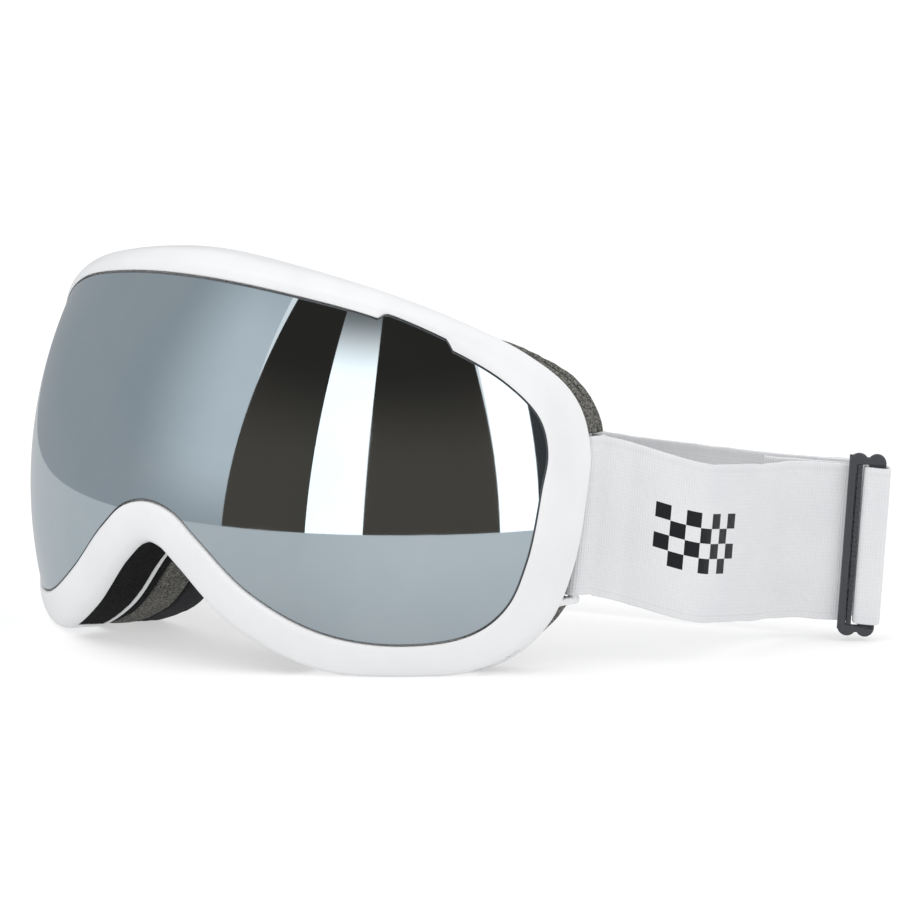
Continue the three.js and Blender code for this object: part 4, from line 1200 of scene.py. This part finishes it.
def make_slider():
    data = bpy.data.curves.new("slider_outline", "CURVE")
    data.dimensions = "2D"
    data.fill_mode = "BOTH"
    data.extrude = ((PLATE[1] - PLATE[0]) / 2 - PLATE_BEVEL) * MM
    data.bevel_depth = PLATE_BEVEL * MM
    data.bevel_resolution = 3
    data.offset = -PLATE_BEVEL * MM
    outline = plate_outline()
    line = data.splines.new("POLY")
    line.points.add(len(outline) - 1)
    for point, (w, v) in zip(line.points, outline):
        point.co = (w * MM, v * MM, 0, 1)
    line.use_cyclic_u = True
    curve = bpy.data.objects.new("slider_outline", data)
    bpy.context.scene.collection.objects.link(curve)
    depsgraph = bpy.context.evaluated_depsgraph_get()
    plate = bpy.data.meshes.new_from_object(curve.evaluated_get(depsgraph))
    bpy.data.objects.remove(curve)
    flat = np.array([v.co for v in plate.vertices], float) / MM
    flat[:, 2] += sum(PLATE) / 2
    parts = [(in_slider(flat), [tuple(polygon.vertices) for polygon in plate.polygons])]
    reach = WINDOW_HALF + 1.7
    rear = (rear_bar_t - REAR_BAR_RADIUS, rear_bar_t + REAR_BAR_RADIUS)
    wide = (REAR_BAR[0] - REAR_BAR_RADIUS, REAR_BAR[1] + REAR_BAR_RADIUS)
    parts += [slider_bar(GRIP_BAR, WINDOW_HALF + 0.5, (PLATE[0], PLATE[1] + 0.02), 0.35, 0.3),
              slider_bar(END_BAR, WINDOW_HALF + 0.5, END_BAR_DEPTH, 0.3),
              slider_bar(wide, reach, rear, 0.48)]
    for end in (-1, 1):
        post, faces = slider_bar((OUTER_BAR[0] + 0.9, -3.6), POST_HALF,
                                 (rear[0], PLATE[0] + 0.2), 0.3)
        parts.append((post + np.array(SLIDER_UP) * end * (reach - POST_HALF), faces))
    return new_solid("slider_body", *joined(parts), SLIDER_GREY, 35)


slider_body = make_slider()
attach(slider_body, "slider")
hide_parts("slider")


# ------------------------------------------------------------------ stage
def emission(name, color, strength):
    """Plain glow whose strength is shaded by the mesh attribute "glow"."""
    material = bpy.data.materials.new(name)
    material.use_nodes = True
    tree = material.node_tree
    tree.nodes.remove(tree.nodes["Principled BSDF"])
    glow = add(tree, "ShaderNodeEmission")
    shade = add(tree, "ShaderNodeAttribute", attribute_name="glow")
    tree.links.new(mix_color(tree, 1.0, color, shade.outputs["Color"], "MULTIPLY"),
                   glow.inputs["Color"])
    glow.inputs["Strength"].default_value = strength
    tree.links.new(glow.outputs[0], tree.nodes["Material Output"].inputs["Surface"])
    return material


def direction(azimuth, elevation):
    a, e = math.radians(azimuth), math.radians(elevation)
    return Vector((math.sin(a) * math.cos(e), -math.cos(a) * math.cos(e), math.sin(e)))


CARDS_HEIGHT = 0.045  # m above the ground of the point that the cards are set round
CARD_STEPS = 36


def card(name, corners, color, strength, distance, shade=lambda a, e: (1, 1, 1)):
    """A panel seen only in reflections, by its corners' azimuth and elevation from the lens.

    shade gives the colour that the glow is multiplied by at an azimuth and elevation."""
    low_left, low_right, high_right, high_left = (np.array(c, float) for c in corners)
    centre = Vector(AXIS) + Vector((0, 0, CARDS_HEIGHT))
    across = CARD_STEPS + 1
    points, faces, shades = [], [], []
    for i in range(across):
        for j in range(across):
            t, u = i / CARD_STEPS, j / CARD_STEPS
            low = low_left * (1 - u) + low_right * u
            high = high_left * (1 - u) + high_right * u
            a, e = low * (1 - t) + high * t
            points.append(centre + direction(a, e) * distance)
            shades.append((*shade(a, e), 1))
    for i in range(CARD_STEPS):
        for j in range(CARD_STEPS):
            k = i * across + j
            faces.append((k, k + 1, k + across + 1, k + across))
    mesh = bpy.data.meshes.new(name)
    mesh.from_pydata(points, [], faces)
    glow = mesh.color_attributes.new("glow", "FLOAT_COLOR", "POINT")
    for value, color_value in zip(glow.data, shades):
        value.color = color_value
    mesh.materials.append(emission(name, color, strength))
    obj = bpy.data.objects.new(name, mesh)
    bpy.context.scene.collection.objects.link(obj)
    obj.visible_camera = False
    obj.visible_diffuse = False
    obj.visible_shadow = False
    obj.visible_transmission = False


def make_stage():
    bpy.context.scene.view_settings.view_transform = "Standard"
    bpy.ops.mesh.primitive_plane_add(size=12, location=(0, 0, 0))
    floor = bpy.context.object
    floor.name = "floor"
    material, tree, shader = new_material("floor_white", (0.5, 0.5, 0.5), 0.7,
                                          Emission_Strength=0.52)
    shader.inputs["Emission Color"].default_value = (1, 1, 1, 1)
    shader.inputs["Specular IOR Level"].default_value = 0.1
    floor.data.materials.append(material)
    floor.visible_glossy = False

    world = bpy.data.worlds.new("studio")
    bpy.context.scene.world = world
    world.use_nodes = True
    background = world.node_tree.nodes["Background"]
    background.inputs["Color"].default_value = (1, 1, 1, 1)
    background.inputs["Strength"].default_value = 0.97

    def area(name, azimuth, elevation, distance, size, power):
        light = bpy.data.lights.new(name, "AREA")
        light.shape = "DISK"
        light.size = size
        light.energy = power
        obj = bpy.data.objects.new(name, light)
        bpy.context.scene.collection.objects.link(obj)
        back = direction(azimuth, elevation)
        obj.location = Vector(AXIS) + back * distance
        aim(obj, back)
        obj.visible_glossy = False

    area("key", -25, 62, 1.5, 1.2, 5)
    area("side", 95, 40, 1.6, 1.0, 2.5)

    def wall_shade(a, e):
        near_room = float(smooth((a + 52) / 36) * smooth((e + 12) / 20) * smooth((64 - e) / 30))
        return (1 + 0.75 * near_room,) * 3

    def room_shade(a, e):
        low = float(smooth((34 - e) / 26))
        return 0.36 + 0.64 * low, 0.36 + 0.62 * low, 0.37 + 0.6 * low

    def window_shade(a, e):
        fade = float(smooth((47 - e) / 18))
        return (0.12 + 0.88 * fade,) * 3

    def table_shade(a, e):
        far = float(smooth((e + 50) / 42))
        return (0.78 + 0.34 * far + 0.12 * float(smooth((a - 5) / 30)),) * 3

    card("reflected_wall", [(-178, -50), (-13, -50), (-3, 89), (-178, 89)], (0.9, 0.95, 1.0),
         0.4, 2.2, wall_shade)
    card("reflected_room", [(-13.5, -8), (73, -8), (66, 60), (-1, 60)], (0.081, 0.071, 0.060),
         1.0, 2.0, room_shade)
    card("reflected_window", [(13.4, -8), (30.8, -8), (34.9, 47), (19.5, 47)], (1, 1, 1),
         1.6, 1.8, window_shade)
    card("reflected_softbox", [(72, -8), (84, -8), (84, 62), (68, 62)], (1, 1, 1), 1.7, 1.7)
    card("reflected_side", [(83, -8), (110, -8), (110, 62), (83, 62)], (0.05, 0.05, 0.05),
         1.0, 1.75)
    card("reflected_table", [(-178, -90), (178, -90), (178, -7), (-178, -7)], (0.94, 0.96, 0.98),
         0.55, 1.5, table_shade)


make_stage()
